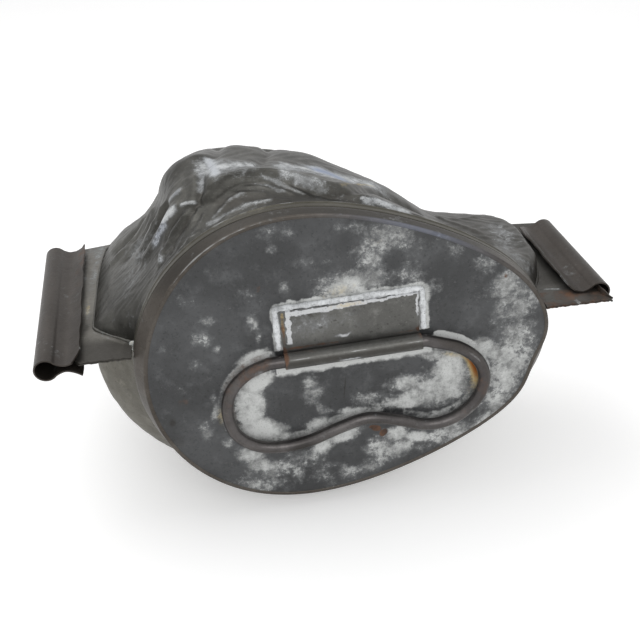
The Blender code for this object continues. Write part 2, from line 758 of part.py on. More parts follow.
tin_grey = make_material("tinned_sheet", (0.30, 0.30, 0.30), 0.45, 0.85)
lid_grey = make_material("lid_tin", (0.27, 0.28, 0.29), 0.50, 0.80)
clip_brown = make_material("clip_tin", (0.29, 0.27, 0.24), 0.50, 0.80)
wire_brown = make_material("bail_wire", (0.22, 0.19, 0.17), 0.45, 0.80)
solder_white = make_material("old_solder", (0.70, 0.71, 0.72), 0.70, 0.30)

make_half_shell("upper_half_shell", True, tin_grey)
make_half_shell("lower_half_shell", False, tin_grey)
make_mouth_band("upper_mouth_band", True, tin_grey)
make_mouth_band("lower_mouth_band", False, tin_grey)
for shell_side in ("left", "right"):
    for shell_half in ("upper", "lower"):
        is_upper = shell_half == "upper"
        make_flange(f"{shell_half}_{shell_side}_flange", shell_side, is_upper, tin_grey)
        make_seam(f"{shell_half}_{shell_side}_solder_seam", shell_side, is_upper, solder_white)

lid_axis = make_pivot("lid_axis", in_row(EGG_HALF_LENGTH, FACE_W, EGG_AXIS_T))
make_lid_plate(lid_grey, lid_axis)
make_lid_rim(clip_brown, lid_axis)
make_handle_strap(tin_grey, lid_axis)
make_strap_solder(solder_white, lid_axis)
bail_axis = make_pivot("bail_axis", strap_frame() @ Vector((STRAP_LENGTH / 2, 0, 0)))
make_bail(wire_brown, bail_axis)

make_clip("left_slide_clip", LEFT_CLIP_NEAR, LEFT_CLIP_FAR, LEFT_CLIP_REACH, 1,
          LEFT_CUT_WIDTH, LEFT_CUT_LENGTH, clip_brown)
make_clip("right_slide_clip", RIGHT_CLIP_NEAR, RIGHT_CLIP_FAR, RIGHT_CLIP_REACH, -1,
          RIGHT_CUT_WIDTH, RIGHT_CUT_LENGTH, clip_brown)
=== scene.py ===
"""An old two-part ice cream mould of tinned sheet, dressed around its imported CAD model.

The mould's own coordinates (u, w, t) are used throughout: u along the parting line from the
left end of the lid, w into the body from the plane where the lid's rim ends, t up from the
parting plane. in_row turns them into the row frame. All sizes are in metres.
"""

import functools
import math

import bpy
import numpy as np
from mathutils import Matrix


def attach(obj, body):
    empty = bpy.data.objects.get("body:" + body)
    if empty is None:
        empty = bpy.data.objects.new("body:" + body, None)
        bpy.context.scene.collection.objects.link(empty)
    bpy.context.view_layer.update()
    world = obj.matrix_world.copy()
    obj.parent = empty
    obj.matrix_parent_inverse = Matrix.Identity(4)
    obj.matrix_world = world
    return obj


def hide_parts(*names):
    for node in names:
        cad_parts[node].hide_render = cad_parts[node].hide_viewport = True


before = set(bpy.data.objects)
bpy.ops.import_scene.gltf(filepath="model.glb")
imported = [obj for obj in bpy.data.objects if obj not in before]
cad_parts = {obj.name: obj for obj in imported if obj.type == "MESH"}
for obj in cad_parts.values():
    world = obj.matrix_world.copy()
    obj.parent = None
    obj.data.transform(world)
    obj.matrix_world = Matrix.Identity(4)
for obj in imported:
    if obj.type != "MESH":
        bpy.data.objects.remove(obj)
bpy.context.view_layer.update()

# Upper half shell
# Tinned sheet pressed into a die: a bird-like figure whose wing arches over a hollow beside the
# mouth, with folds running down its flank. The ridges are worn bright and carry painted highlights,
# the grooves carry painted shade, and the crown has bloomed.
LID_LEFT_X = -0.088
RIM_END_Y = -0.050
PARTING_Z = 0.0965
EGG_HALF_LENGTH = 0.096
EGG_AXIS_T = -0.012
EGG_SWELL = (0.074, -0.018, 0.009)
RIM_DEPTH = 0.006
FACE_W = -RIM_DEPTH
BASE_FLARE = 0.0004
END_FLARE = 0.0042
LEFT_FLARE = (math.radians(168), math.radians(42))
RIGHT_FLARE = (math.radians(-13), math.radians(13))
COLLAR_INSET = 0.00125
MOUTH_W = -0.003
COLLAR_END_W = 0.006
BODY_DEPTH = 0.140
DEPTH_SLOPE = 0.26
CLOSING_U = 0.092
BOX_POWER = 6.5
SMALL_END_BOX_POWER = 10.0
DOME_POWER = 3.0
SLOW_SWELL_END_W = 0.055
QUICK_SWELL_END_W = 0.029
SHOULDER_POWER = 0.8
SHOULDER_FROM_SHARE = 0.80
CAP_FROM_DEPTH = 0.93
CAP_FROM_ROW = 0.84
ROW_CROWDING = 1.2
PARTING_GAP = 0.00024
SHELL_SHEET = 0.0008
SMALL_END_U = (0.150, 0.190)
UPPER_SECTION = (
    (0.1985, 0.000), (0.1960, 0.0112), (0.183, 0.0138), (0.159, 0.0190), (0.137, 0.0352),
    (0.113, 0.0515), (0.088, 0.0628), (0.064, 0.0672), (0.043, 0.0675), (0.028, 0.0600),
    (0.0172, 0.0425), (0.005, 0.0240), (-0.0100, 0.0100), (-0.0180, 0.000))
LOWER_SECTION = (
    (-0.0180, 0.000), (-0.019, -0.020), (-0.015, -0.040), (-0.006, -0.058), (0.009, -0.074),
    (0.032, -0.089), (0.060, -0.099), (0.092, -0.101), (0.125, -0.096), (0.155, -0.076),
    (0.180, -0.047), (0.195, -0.020), (0.1985, 0.000))
WING_PEAK = (0.064, 0.034)
WING_SPREADS = (0.050, 0.032)
WING_FOOT_W = 0.013
WING_HOLLOW = 0.0022
WING_LIP = 0.0016
WING_LIP_REACH = 0.022
WING_FROM_U = 0.030
WING_TO_U = 0.140
CROWN_LUMPS = (
    (0.033, 0.066, 0.010, 0.0022), (0.060, 0.074, 0.013, 0.0022),
    (0.090, 0.068, 0.014, 0.0020), (0.128, 0.060, 0.014, 0.0020))
HEAD_U = 0.036
HEAD_RADIUS = 0.032
HEAD_HEIGHT = 0.010
HEAD_DEPTHS = (0.6, 0.85)
SHELL_ROWS = 170
SHELL_COLUMNS = {True: 284, False: 200}
FIGURE_COLUMNS = ((0, 0.25, 0.97, 1), (0, 0.36, 0.965, 1))
SMOOTH_ANGLE = math.radians(38)
MERGE_WITHIN = 0.000004
MM = 0.001


def in_row(u, w, t):
    """Row frame points of the mould's own coordinates."""
    u, w, t = np.broadcast_arrays(u, w, t)
    return np.stack([u + LID_LEFT_X, w + RIM_END_Y, t + PARTING_Z], -1)


def smooth(value, start, end):
    """0 before start, 1 after end, and a smooth rise between them."""
    share = np.clip((value - start) / (end - start), 0, 1)
    return share * share * (3 - 2 * share)


def bell(value, middle, spread):
    """1 at the middle, falling off on both sides over the spread."""
    return np.exp(-((value - middle) / spread) ** 2)


def strongest(*layers):
    """The highest of some layers at each point."""
    return functools.reduce(np.maximum, layers)


def along(points, share):
    """Points on a smooth curve through evenly numbered points, share running from 0 to 1."""
    knots = np.array(points, float)
    knots = np.vstack([2 * knots[0] - knots[1], knots, 2 * knots[-1] - knots[-2]])
    spans = len(points) - 1
    place = np.clip(share, 0, 1) * spans
    first = np.minimum(place.astype(int), spans - 1)
    part = (place - first)[..., None]
    a, b, c, d = (knots[first + step] for step in range(4))
    return 0.5 * (2 * b + (c - a) * part + (2 * a - 5 * b + 4 * c - d) * part ** 2
                  + (3 * b - a - 3 * c + d) * part ** 3)


def egg(angle, inset=0.0):
    """Points (u, t) of the lid's outline, moved inwards by inset."""
    def outline(turn):
        place = np.cos(turn)
        height = EGG_SWELL[0] + EGG_SWELL[1] * place + EGG_SWELL[2] * place ** 3
        return np.stack([EGG_HALF_LENGTH * (1 + place), EGG_AXIS_T + np.sin(turn) * height], -1)
    run = outline(angle + 0.001) - outline(angle - 0.001)
    inward = np.stack([-run[..., 1], run[..., 0]], -1)
    inward /= np.linalg.norm(inward, axis=-1, keepdims=True)
    return outline(angle) + inward * np.asarray(inset)[..., None]


ANGLE_STEPS = 20001
upper_angles = np.linspace(0, math.pi, ANGLE_STEPS)
above_parting = upper_angles[egg(upper_angles)[:, 1] > 0]
RIGHT_PARTING = above_parting[0]
LEFT_PARTING = above_parting[-1]


def rim_flare(angle):
    """How far the rim's back edge stands outside the lid's face at this angle."""
    angle = (angle + math.pi / 2) % math.tau - math.pi / 2
    flare = BASE_FLARE
    for middle, spread in (LEFT_FLARE, RIGHT_FLARE):
        flare = flare + END_FLARE * bell(angle, middle, spread)
    return flare


def lid_inset(angle, w):
    """Inset of the lid's taper at depth w, which is 0 at the rim's back edge."""
    return rim_flare(angle) * np.clip(-w / RIM_DEPTH, 0, 1)


def body_points(upper, share, depth):
    """Points (u, w, t) of one half of the body, from one end of the parting line to the other."""
    reach = LEFT_PARTING - RIGHT_PARTING
    if upper:
        angle = RIGHT_PARTING + reach * share
        section = along(UPPER_SECTION, share)
        quick = smooth(share, SHOULDER_FROM_SHARE, 1.0)
    else:
        angle = LEFT_PARTING + (math.tau - reach) * share
        section = along(LOWER_SECTION, share)
        quick = np.sin(math.pi * np.clip(share, 0.5, 1)) ** SHOULDER_POWER
    w = MOUTH_W + depth * (BODY_DEPTH - MOUTH_W)
    mouth = egg(angle, COLLAR_INSET + lid_inset(angle, w))
    slow_swell = smooth(w, COLLAR_END_W, SLOW_SWELL_END_W)
    quick_swell = smooth(w, COLLAR_END_W, QUICK_SWELL_END_W)
    swell = slow_swell + (quick_swell - slow_swell) * quick
    flat = mouth + (section - mouth) * swell[..., None]
    power = BOX_POWER + (SMALL_END_BOX_POWER - BOX_POWER) * smooth(flat[..., 0], *SMALL_END_U)
    box = (1 - depth ** power) ** (1 / power)
    dome = (1 - depth ** DOME_POWER) ** (1 / DOME_POWER)
    u = CLOSING_U + (flat[..., 0] - CLOSING_U) * box
    t = flat[..., 1] * dome
    w = w - np.maximum(w - COLLAR_END_W, 0) * DEPTH_SLOPE * u / BODY_DEPTH
    away = np.minimum(np.hypot(u - HEAD_U, t) / HEAD_RADIUS, 1)
    w = w + HEAD_HEIGHT * (1 - away ** 2) ** 2 * smooth(depth, *HEAD_DEPTHS)
    return np.stack([u, w, t], -1)


def row_depth(row):
    """Depth of a row of a shell's grid, the rows closing up towards the mouth and the far end."""
    cap_width = (1 - CAP_FROM_DEPTH ** BOX_POWER) ** (1 / BOX_POWER)
    width = cap_width * np.clip((1 - row) / (1 - CAP_FROM_ROW), 0, 1)
    cap = (1 - width ** BOX_POWER) ** (1 / BOX_POWER)
    wall = CAP_FROM_DEPTH * np.clip(row / CAP_FROM_ROW, 0, 1) ** ROW_CROWDING
    return np.where(row < CAP_FROM_ROW, wall, cap)


def pressed_form(place):
    """Height of the wing and the crown's lumps."""
    u, w, t = place[..., 0], place[..., 1], place[..., 2]
    spread = np.where(u < WING_PEAK[0], WING_SPREADS[0], WING_SPREADS[1])
    edge = WING_FOOT_W + (WING_PEAK[1] - WING_FOOT_W) * bell(u, WING_PEAK[0], spread)
    across = smooth(u, WING_FROM_U, WING_FROM_U + 0.015)
    across = across * (1 - smooth(u, WING_TO_U - 0.03, WING_TO_U))
    past_edge = smooth(w, edge - 0.004, edge + 0.003)
    behind_collar = smooth(w, COLLAR_END_W, COLLAR_END_W + 0.005)
    fading = np.where(w > edge, bell(w, edge, WING_LIP_REACH), 1.0)
    hollow = WING_HOLLOW * (1 - past_edge) * behind_collar
    height = across * (WING_LIP * past_edge * fading - hollow)
    for lump_u, lump_w, radius, lump_height in CROWN_LUMPS:
        height = height + lump_height * bell(np.hypot(u - lump_u, w - lump_w), 0, radius)
    return height * smooth(np.abs(t), 0.004, 0.020)


def uneven(at, spacing, seed, count=500):
    """A smooth random wander between -1 and 1 along a line."""
    knots = np.random.default_rng(seed).uniform(-1, 1, count)
    first = np.floor(at / spacing).astype(int)
    part = at / spacing - first
    part = part * part * (3 - 2 * part)
    return knots[first % count] * (1 - part) + knots[(first + 1) % count] * part


def nearness(place, stroke, radius):
    """1 on a stroke through points given in millimetres, falling off over radius."""
    line = along(np.array(stroke) * MM, np.linspace(0, 1, 8 * len(stroke)))
    nearest = np.full(len(place), np.inf)
    for a, b in zip(line, line[1:]):
        run = b - a
        share = np.clip((place - a) @ run / (run @ run), 0, 1)
        nearest = np.minimum(nearest, np.linalg.norm(place - a - share[:, None] * run, axis=-1))
    return bell(nearest, 0, radius)


# Folds pressed in the upper shell: height and radius in millimetres, wear, and the route's points
# (u, w, t) in millimetres. The points were picked by eye in the photograph, and a scratch script
# turned them into places on the surface. Those of the bloom and the yellow edge came that way too.
# The wear column is wear and painted highlight on the ridges; folds of negative height carry
# painted shade.
FOLDS = (
    (2.0, 3.2, 0.42, ((27, 37, 53), (23, 38, 48), (18, 37, 39), (11, 37, 30))),
    (1.3, 2.6, 0.35, ((32, 27, 53), (27, 27, 48), (21, 24, 41), (18, 19, 36))),
    (-1.4, 2.6, 0.0, ((23, 45, 50), (19, 45, 43), (12, 42, 32), (8, 42, 26))),
    (1.2, 2.6, 0.30, ((20, 50, 47), (15, 51, 40), (10, 50, 30), (6, 49, 25))),
    (-1.4, 3.0, 0.0, ((17, 60, 41), (12, 62, 33), (5, 62, 23), (-1, 62, 17))),
    (1.6, 3.0, 0.22, ((15, 70, 37), (11, 73, 30), (2, 74, 19), (-8, 72, 11))),
    (-1.2, 2.8, 0.0, ((12, 80, 31), (5, 82, 22), (-6, 81, 12))),
    (1.2, 3.0, 0.15, ((8, 88, 25), (1, 90, 17), (-9, 90, 9))),
    (-2.0, 3.0, 0.0, ((50, 90, 58), (49, 66, 66), (45, 53, 67), (40, 38, 65), (38, 29, 59))),
    (-1.8, 3.0, 0.0, ((74, 85, 57), (73, 68, 63), (70, 55, 65), (67, 43, 67))),
    (1.2, 2.6, 0.22, ((41, 28, 59), (49, 33, 65), (58, 36, 68), (71, 36, 67), (85, 29, 64),
                      (100, 26, 61), (113, 38, 53), (124, 52, 46))),
    (-1.6, 2.8, 0.0, ((89, 21, 60), (99, 19, 60), (108, 22, 58), (118, 37, 50), (131, 47, 40),
                      (142, 50, 31))),
    (0.9, 1.6, 1.00, ((30, 42, 59), (27, 43, 56), (25, 44, 53))),
    (0.9, 1.5, 1.10, ((36, 30, 58), (34, 31, 57), (31, 34, 55))),
    (0.7, 1.4, 0.30, ((37, 26, 57), (34, 21, 52), (30, 17, 48), (27, 13, 45))),
    (0.7, 1.3, 0.45, ((39, 21, 56), (36, 16, 52), (32, 12, 49))),
    (0.6, 1.3, 0.50, ((36, 12, 52), (31, 11, 48), (27, 9, 45))),
    (0.6, 1.4, 0.45, ((22, 31, 43), (20, 26, 39), (19, 17, 37))),
    (0.5, 1.0, 0.60, ((31, 27, 52), (28, 26, 48))),
    (-0.8, 1.5, 0.0, ((29, 31, 52), (24, 31, 46), (22, 26, 42), (18, 24, 36))),
    (-0.7, 1.3, 0.0, ((35, 26, 55), (30, 23, 49), (26, 20, 45), (23, 15, 41))),
    (-0.8, 1.8, 0.0, ((40, 41, 64), (40, 33, 62), (37, 30, 59), (35, 27, 56))),
    (0.6, 1.6, 0.30, ((22, 49, 50), (15, 47, 38), (13, 48, 35), (10, 47, 30), (6, 46, 25))),
    (0.6, 1.6, 0.25, ((16, 51, 40), (9, 60, 30), (4, 68, 22), (0, 71, 17), (-5, 71, 14))),
    (0.5, 1.5, 0.22, ((15, 66, 37), (11, 66, 31), (6, 67, 24), (0, 67, 18))),
    (0.5, 1.5, 0.22, ((7, 84, 25), (4, 86, 20), (-2, 87, 15), (-7, 86, 11))),
    (2.2, 7.0, 0.10, ((22, 78, 48), (28, 64, 57), (34, 60, 62), (38, 61, 64))),
    (-0.2, 9.0, 0.0, ((48, 20, 61), (62, 18, 63), (80, 15, 62), (100, 15, 58))),
    (0.7, 1.4, 0.50, ((39, 29, 60), (46, 29, 62), (50, 31, 65), (56, 34, 66), (62, 36, 66),
                      (69, 35, 65), (76, 32, 65), (84, 27, 63), (91, 24, 62))),
    (0.7, 1.2, 0.50, ((44, 27, 61), (47, 29, 63), (54, 32, 65), (62, 33, 66), (69, 32, 65),
                      (77, 28, 64), (81, 23, 63), (85, 19, 63))),
    (0.5, 1.0, 0.40, ((61, 28, 65), (65, 28, 65), (70, 25, 65), (76, 23, 64), (80, 19, 63))),
    (0.5, 1.3, 0.50, ((44, 17, 58), (46, 19, 59), (49, 21, 61), (54, 24, 63), (60, 24, 64),
                      (67, 22, 64))),
    (0.4, 1.3, 0.40, ((46, 13, 57), (51, 14, 60), (59, 16, 62), (66, 16, 63), (71, 16, 63),
                      (77, 14, 63))),
    (0.5, 1.6, 0.40, ((113, 15, 56), (122, 14, 52), (130, 12, 49), (135, 10, 48))),
    (0.6, 1.6, 0.40, ((158, 70, 17), (166, 64, 15), (173, 56, 14), (177, 44, 14), (176, 30, 17),
                      (174, 16, 22))),
    (0.5, 1.4, 0.32, ((158, 70, 17), (170, 74, 13), (182, 80, 10))),
    (0.6, 1.8, 0.35, ((197, 68, 10), (195, 50, 12), (192, 32, 14), (188, 17, 12))),
    (-0.7, 1.8, 0.0, ((187, 66, 12), (186, 49, 13), (183, 30, 16), (181, 14, 18))))

# White bloom on the body: amount, radius, how blue it is, and its route.
BODY_BLOOM = (
    (0.74, 7.5, 0.05, ((44, 50, 66), (47, 45, 67), (51, 43, 67), (56, 43, 67), (61, 43, 66))),
    (1.10, 3.0, 0.40, ((45, 57, 66), (46, 45, 66), (47, 38, 66))),
    (0.50, 2.6, 0.10, ((41, 46, 66), (40, 40, 64), (39, 35, 62))),
    (0.78, 7.5, 0.10, ((78, 41, 64), (84, 41, 63), (90, 42, 61), (97, 42, 59), (105, 46, 54),
                       (112, 50, 50), (119, 53, 46))),
    (0.50, 2.6, 0.00, ((76, 33, 65), (82, 29, 64), (87, 26, 63), (92, 24, 62))),
    (1.00, 6.0, 1.60, ((94, 46, 59), (98, 46, 58), (103, 44, 56))),
    (0.80, 2.6, 0.10, ((111, 15, 57), (117, 15, 55), (123, 13, 52), (128, 12, 50))),
    (0.46, 1.2, 0.00, ((43, 17, 57), (47, 20, 60), (52, 23, 62), (57, 24, 64))),
    (0.50, 1.6, 0.00, ((41, 15, 55), (48, 15, 59), (55, 16, 61), (62, 16, 63), (69, 16, 63))),
    (0.42, 1.2, 0.00, ((67, 33, 65), (73, 30, 65), (79, 24, 64), (84, 19, 63))),
    (0.34, 1.6, 0.00, ((64, 30, 65), (70, 27, 65), (76, 22, 64))),
    (1.15, 1.9, 0.00, ((27, 36, 52), (24, 37, 49), (22, 38, 46))),
    (0.60, 3.4, 0.55, ((22, 36, 44), (19, 36, 41), (17, 34, 38))),
    (0.66, 1.6, 0.70, ((36, 6, 51), (31, 7, 48), (28, 6, 45), (24, 8, 42))),
    (0.60, 1.8, 0.20, ((19, 25, 38), (19, 17, 37))),
    (0.80, 1.4, 0.00, ((36, 30, 58), (34, 31, 57), (31, 34, 55))),
    (0.52, 1.6, 0.20, ((30, 42, 59), (27, 43, 56), (25, 44, 53))),
    (0.34, 9.0, 0.00, ((188, 64, 12), (187, 48, 13), (184, 34, 15), (180, 14, 18))),
    (0.26, 9.0, 0.00, ((12, 49, 33), (0, 65, 18), (5, 38, 23))),
    (0.16, 7.0, 0.00, ((60, 8, 59), (80, 8, 60), (100, 10, 58))))
YELLOW_EDGE = ((101, 24, 60), (106, 32, 57), (113, 46, 50), (120, 52, 45))
YELLOW_RADIUS = 0.0016
FLANK_END_U = (0.026, 0.044)
SHADED_END_U = (0.118, 0.150)
STREAK_WEAR_AND_SHEEN = 0.12
STREAK_HEIGHT = 0.00013
DENT_HEIGHT = 0.00016
CROWN_LIMIT_T = 0.0675
FAR_LIMIT_W = 0.1403
LIMIT_EASE = 0.35


def grid_piece(name, columns, rows, shape):
    """A grid primitive whose points all move to where shape(across, down) puts them."""
    bpy.ops.object.select_all(action="DESELECT")
    bpy.ops.mesh.primitive_grid_add(x_subdivisions=columns, y_subdivisions=rows, size=2)
    piece = bpy.context.object
    piece.name = name
    piece.data.name = name
    flat = np.empty(len(piece.data.vertices) * 3)
    piece.data.vertices.foreach_get("co", flat)
    flat = np.clip((flat.reshape(-1, 3) + 1) / 2, 0, 1)
    place = shape(flat[:, 0], flat[:, 1])
    piece.data.vertices.foreach_set("co", place.ravel())
    piece.data.update()
    return piece


def own_places(piece):
    """The points of a piece in the mould's own coordinates: u, w and t."""
    flat = np.empty(len(piece.data.vertices) * 3)
    piece.data.vertices.foreach_get("co", flat)
    x, y, z = flat.reshape(-1, 3).T
    return x - LID_LEFT_X, y - RIM_END_Y, z - PARTING_Z


def mark(piece, **marks):
    """Keep each point's wear and painted highlight, grime and painted shade and so on with the
    piece, for its material to read.
    """
    for name in ("wear", "grime", "bloom", "blue", "rust", "amber"):
        kept = piece.data.attributes.new(name, "FLOAT", "POINT")
        values = np.broadcast_to(marks.get(name, 0.0), len(piece.data.vertices))
        kept.data.foreach_set("value", values.astype(np.float32))


def close_up(piece, outwards=None, open_ends=False):
    """Merge what meets, fill open ends, turn faces outwards and smooth.

    An open sheet has no inside, so outwards is the direction that its faces look in.
    """
    bpy.ops.object.select_all(action="DESELECT")
    piece.select_set(True)
    bpy.context.view_layer.objects.active = piece
    bpy.ops.object.mode_set(mode="EDIT")
    bpy.ops.mesh.select_all(action="SELECT")
    bpy.ops.mesh.remove_doubles(threshold=MERGE_WITHIN)
    if open_ends:
        bpy.ops.mesh.select_all(action="DESELECT")
        bpy.ops.mesh.select_non_manifold()
        bpy.ops.mesh.fill_holes(sides=0)
        bpy.ops.mesh.select_all(action="SELECT")
    bpy.ops.mesh.normals_make_consistent(inside=False)
    bpy.ops.object.mode_set(mode="OBJECT")
    if outwards is not None:
        facing = sum(face.area * face.normal.dot(outwards) for face in piece.data.polygons)
        if facing < 0:
            piece.data.flip_normals()
    bpy.ops.object.shade_smooth_by_angle(angle=SMOOTH_ANGLE)


def give_thickness(piece, thickness, offset):
    """Turn an open sheet into metal of this thickness."""
    bpy.context.view_layer.objects.active = piece
    sheet = piece.modifiers.new("sheet", "SOLIDIFY")
    sheet.thickness = thickness
    sheet.offset = offset
    bpy.ops.object.modifier_apply(modifier=sheet.name)
    bpy.ops.object.shade_smooth_by_angle(angle=SMOOTH_ANGLE)


class Wire:
    """An output of a shader node. A sum written with wires becomes Math nodes."""

    def __init__(self, tree, outlet=None):
        self.tree = tree
        self.outlet = outlet

    def node(self, kind, settings, inlets, out=0):
        """Add a node: its settings first, then the values or wires of its inlets."""
        node = self.tree.nodes.new("ShaderNode" + kind)
        for name, value in settings.items():
            setattr(node, name, value)
        for name, value in inlets.items():
            if isinstance(value, Wire):
                self.tree.links.new(value.outlet, node.inputs[name])
            else:
                node.inputs[name].default_value = value
        return Wire(self.tree, node.outputs[out])

    def math(self, operation, *values):
        return self.node("Math", {"operation": operation}, dict(enumerate(values)))

    def __add__(self, other):
        return self.math("ADD", self, other)

    __radd__ = __add__

    def __sub__(self, other):
        return self.math("SUBTRACT", self, other)

    def __rsub__(self, other):
        return self.math("SUBTRACT", other, self)

    def __mul__(self, other):
        return self.math("MULTIPLY", self, other)

    __rmul__ = __mul__

    def within(self, low, high):
        """0 below low, 1 above high, smooth between."""
        return self.node("MapRange", {"interpolation_type": "SMOOTHSTEP"},
                         {"Value": self, "From Min": low, "From Max": high})

    def blend(self, tone, other):
        """A colour between tone and other, by this wire."""
        return self.node("Mix", {"data_type": "RGBA"}, {0: self, 6: tone, 7: other}, 2)


def paint(color, level=1.0):
    """A colour with its alpha, made lighter or darker by level."""
    return (*(channel * level for channel in color), 1)


WEAR_AND_HIGHLIGHT_TIN = (0.30, 0.305, 0.305)
GRIME_AND_SHADE_TONE = (0.030, 0.027, 0.023)
GREY_HAZE = (0.185, 0.190, 0.192)
BLUE_OXIDE_AND_SHEEN = (0.24, 0.28, 0.38)
OLD_RUST = (0.034, 0.019, 0.013)
FRESH_RUST = (0.115, 0.056, 0.030)
YELLOW_STAIN = (0.56, 0.44, 0.20)
AMBER_STAIN = (0.30, 0.085, 0.006)
BUMP_HEIGHT = 0.0003


def old_tin(name, dark, light, metallic=0.7, roughness=0.46, gloss=0.10,
            chalk=(0.50, 0.52, 0.51)):
    """Dull tin plate, clouded and gritty, with chalky bloom, wear and painted highlights, grime and
    painted shade, rust and amber stains.
    """
    material = bpy.data.materials.new(name)
    material.use_nodes = True
    tree = material.node_tree
    shader = tree.nodes["Principled BSDF"]
    start = Wire(tree)
    place = start.node("TexCoord", {}, {}, "Object")

    def noise(scale, detail, roughness):
        return start.node("TexNoise", {}, {"Vector": place, "Scale": scale, "Detail": detail,
                                           "Roughness": roughness}, 0)

    def kept(attribute):
        return start.node("Attribute", {"attribute_name": attribute}, {}, "Fac")

    cloud = noise(32, 4, 0.6)
    drift = noise(130, 8, 0.68)
    grit = noise(620, 5, 0.72)
    coast = noise(62, 13, 0.76)
    speck = noise(340, 9, 0.76)
    pits = noise(1500, 3, 0.6)
    amount = kept("bloom")
    tone = cloud.within(0.36, 0.66).blend(paint(dark), paint(light))
    tone = (drift.within(0.52, 0.70) * 0.45).blend(tone, paint(light, 1.5))
    tone = (grit.within(0.54, 0.70) * 0.50).blend(tone, paint(dark, 0.5))
    tone = (pits.within(0.60, 0.74) * 0.30).blend(tone, paint(light, 1.9))
    tone = (coast.within(0.50, 0.64) * 0.40).blend(tone, paint(dark, 0.62))
    # The wear layer also lays painted highlights, and the grime layer painted shade.
    bright = (kept("wear") + (coast - 0.5) * 1.4 + (grit - 0.5) * 0.5).within(0.42, 0.85)
    tone = (bright * 0.85).blend(tone, paint(WEAR_AND_HIGHLIGHT_TIN))
    soiled_and_shaded = (kept("grime") + (drift - 0.5) * 0.7 + (cloud - 0.5) * 0.4).within(0.25, 0.85)
    tone = (soiled_and_shaded * 0.8).blend(tone, paint(GRIME_AND_SHADE_TONE))
    haze = (amount * 1.6 + (coast - 0.5) * 2.6 + (speck - 0.5) * 1.6).within(0.18, 0.90)
    tone = (haze * 0.76).blend(tone, paint(GREY_HAZE))
    crust = (amount * 1.3 + (coast - 0.5) * 2.6 + (speck - 0.5) * 2.2).within(0.42, 0.82)
    crust = crust * (1 - pits.within(0.56, 0.70) * 0.55)
    pale = (amount * 0.95 + (drift - 0.5) * 2.0 + (speck - 0.5) * 1.4).within(0.18, 1.12)
    pale = pale.blend(paint(chalk, 0.34), paint(chalk))
    tone = crust.blend(tone, pale)
    # Bluish tint: oxide on the body's bloom, a bluish line by the strap's top edge, painted sheen
    # on the rim's fold and a painted reflection on the wire.
    tone = (kept("blue") * crust.within(-0.6, 1) * 0.6).blend(tone, paint(BLUE_OXIDE_AND_SHEEN))
    rust = (kept("rust") + (drift - 0.5) * 0.9 + (coast - 0.5) * 0.8).within(0.34, 0.74)
    rusty = drift.within(0.35, 0.65).blend(paint(OLD_RUST), paint(FRESH_RUST))
    tone = rust.blend(tone, rusty)
    stain = kept("amber")
    amber = (stain + (grit - 0.5) * 0.6 + (speck - 0.5) * 0.8).within(0.15, 0.80)
    deep = stain.within(0.40, 1.05).blend(paint(YELLOW_STAIN), paint(AMBER_STAIN))
    tone = amber.blend(tone, deep)
    tree.links.new(tone.outlet, shader.inputs["Base Color"])
    bare = (1 - crust) * (1 - rust) * (1 - amber * 0.8)
    tree.links.new((bare * metallic).outlet, shader.inputs["Metallic"])
    rough = roughness + (cloud - 0.5) * 0.20 + (grit - 0.5) * 0.18 - bright * gloss
    rough = rough + (1 - bare) * 0.3
    tree.links.new(rough.outlet, shader.inputs["Roughness"])
    bump = start.node("Bump", {}, {"Strength": 0.4, "Distance": BUMP_HEIGHT,
                                   "Height": drift * 0.8 + grit * 0.4 + crust * 0.35})
    tree.links.new(bump.outlet, shader.inputs["Normal"])
    return material


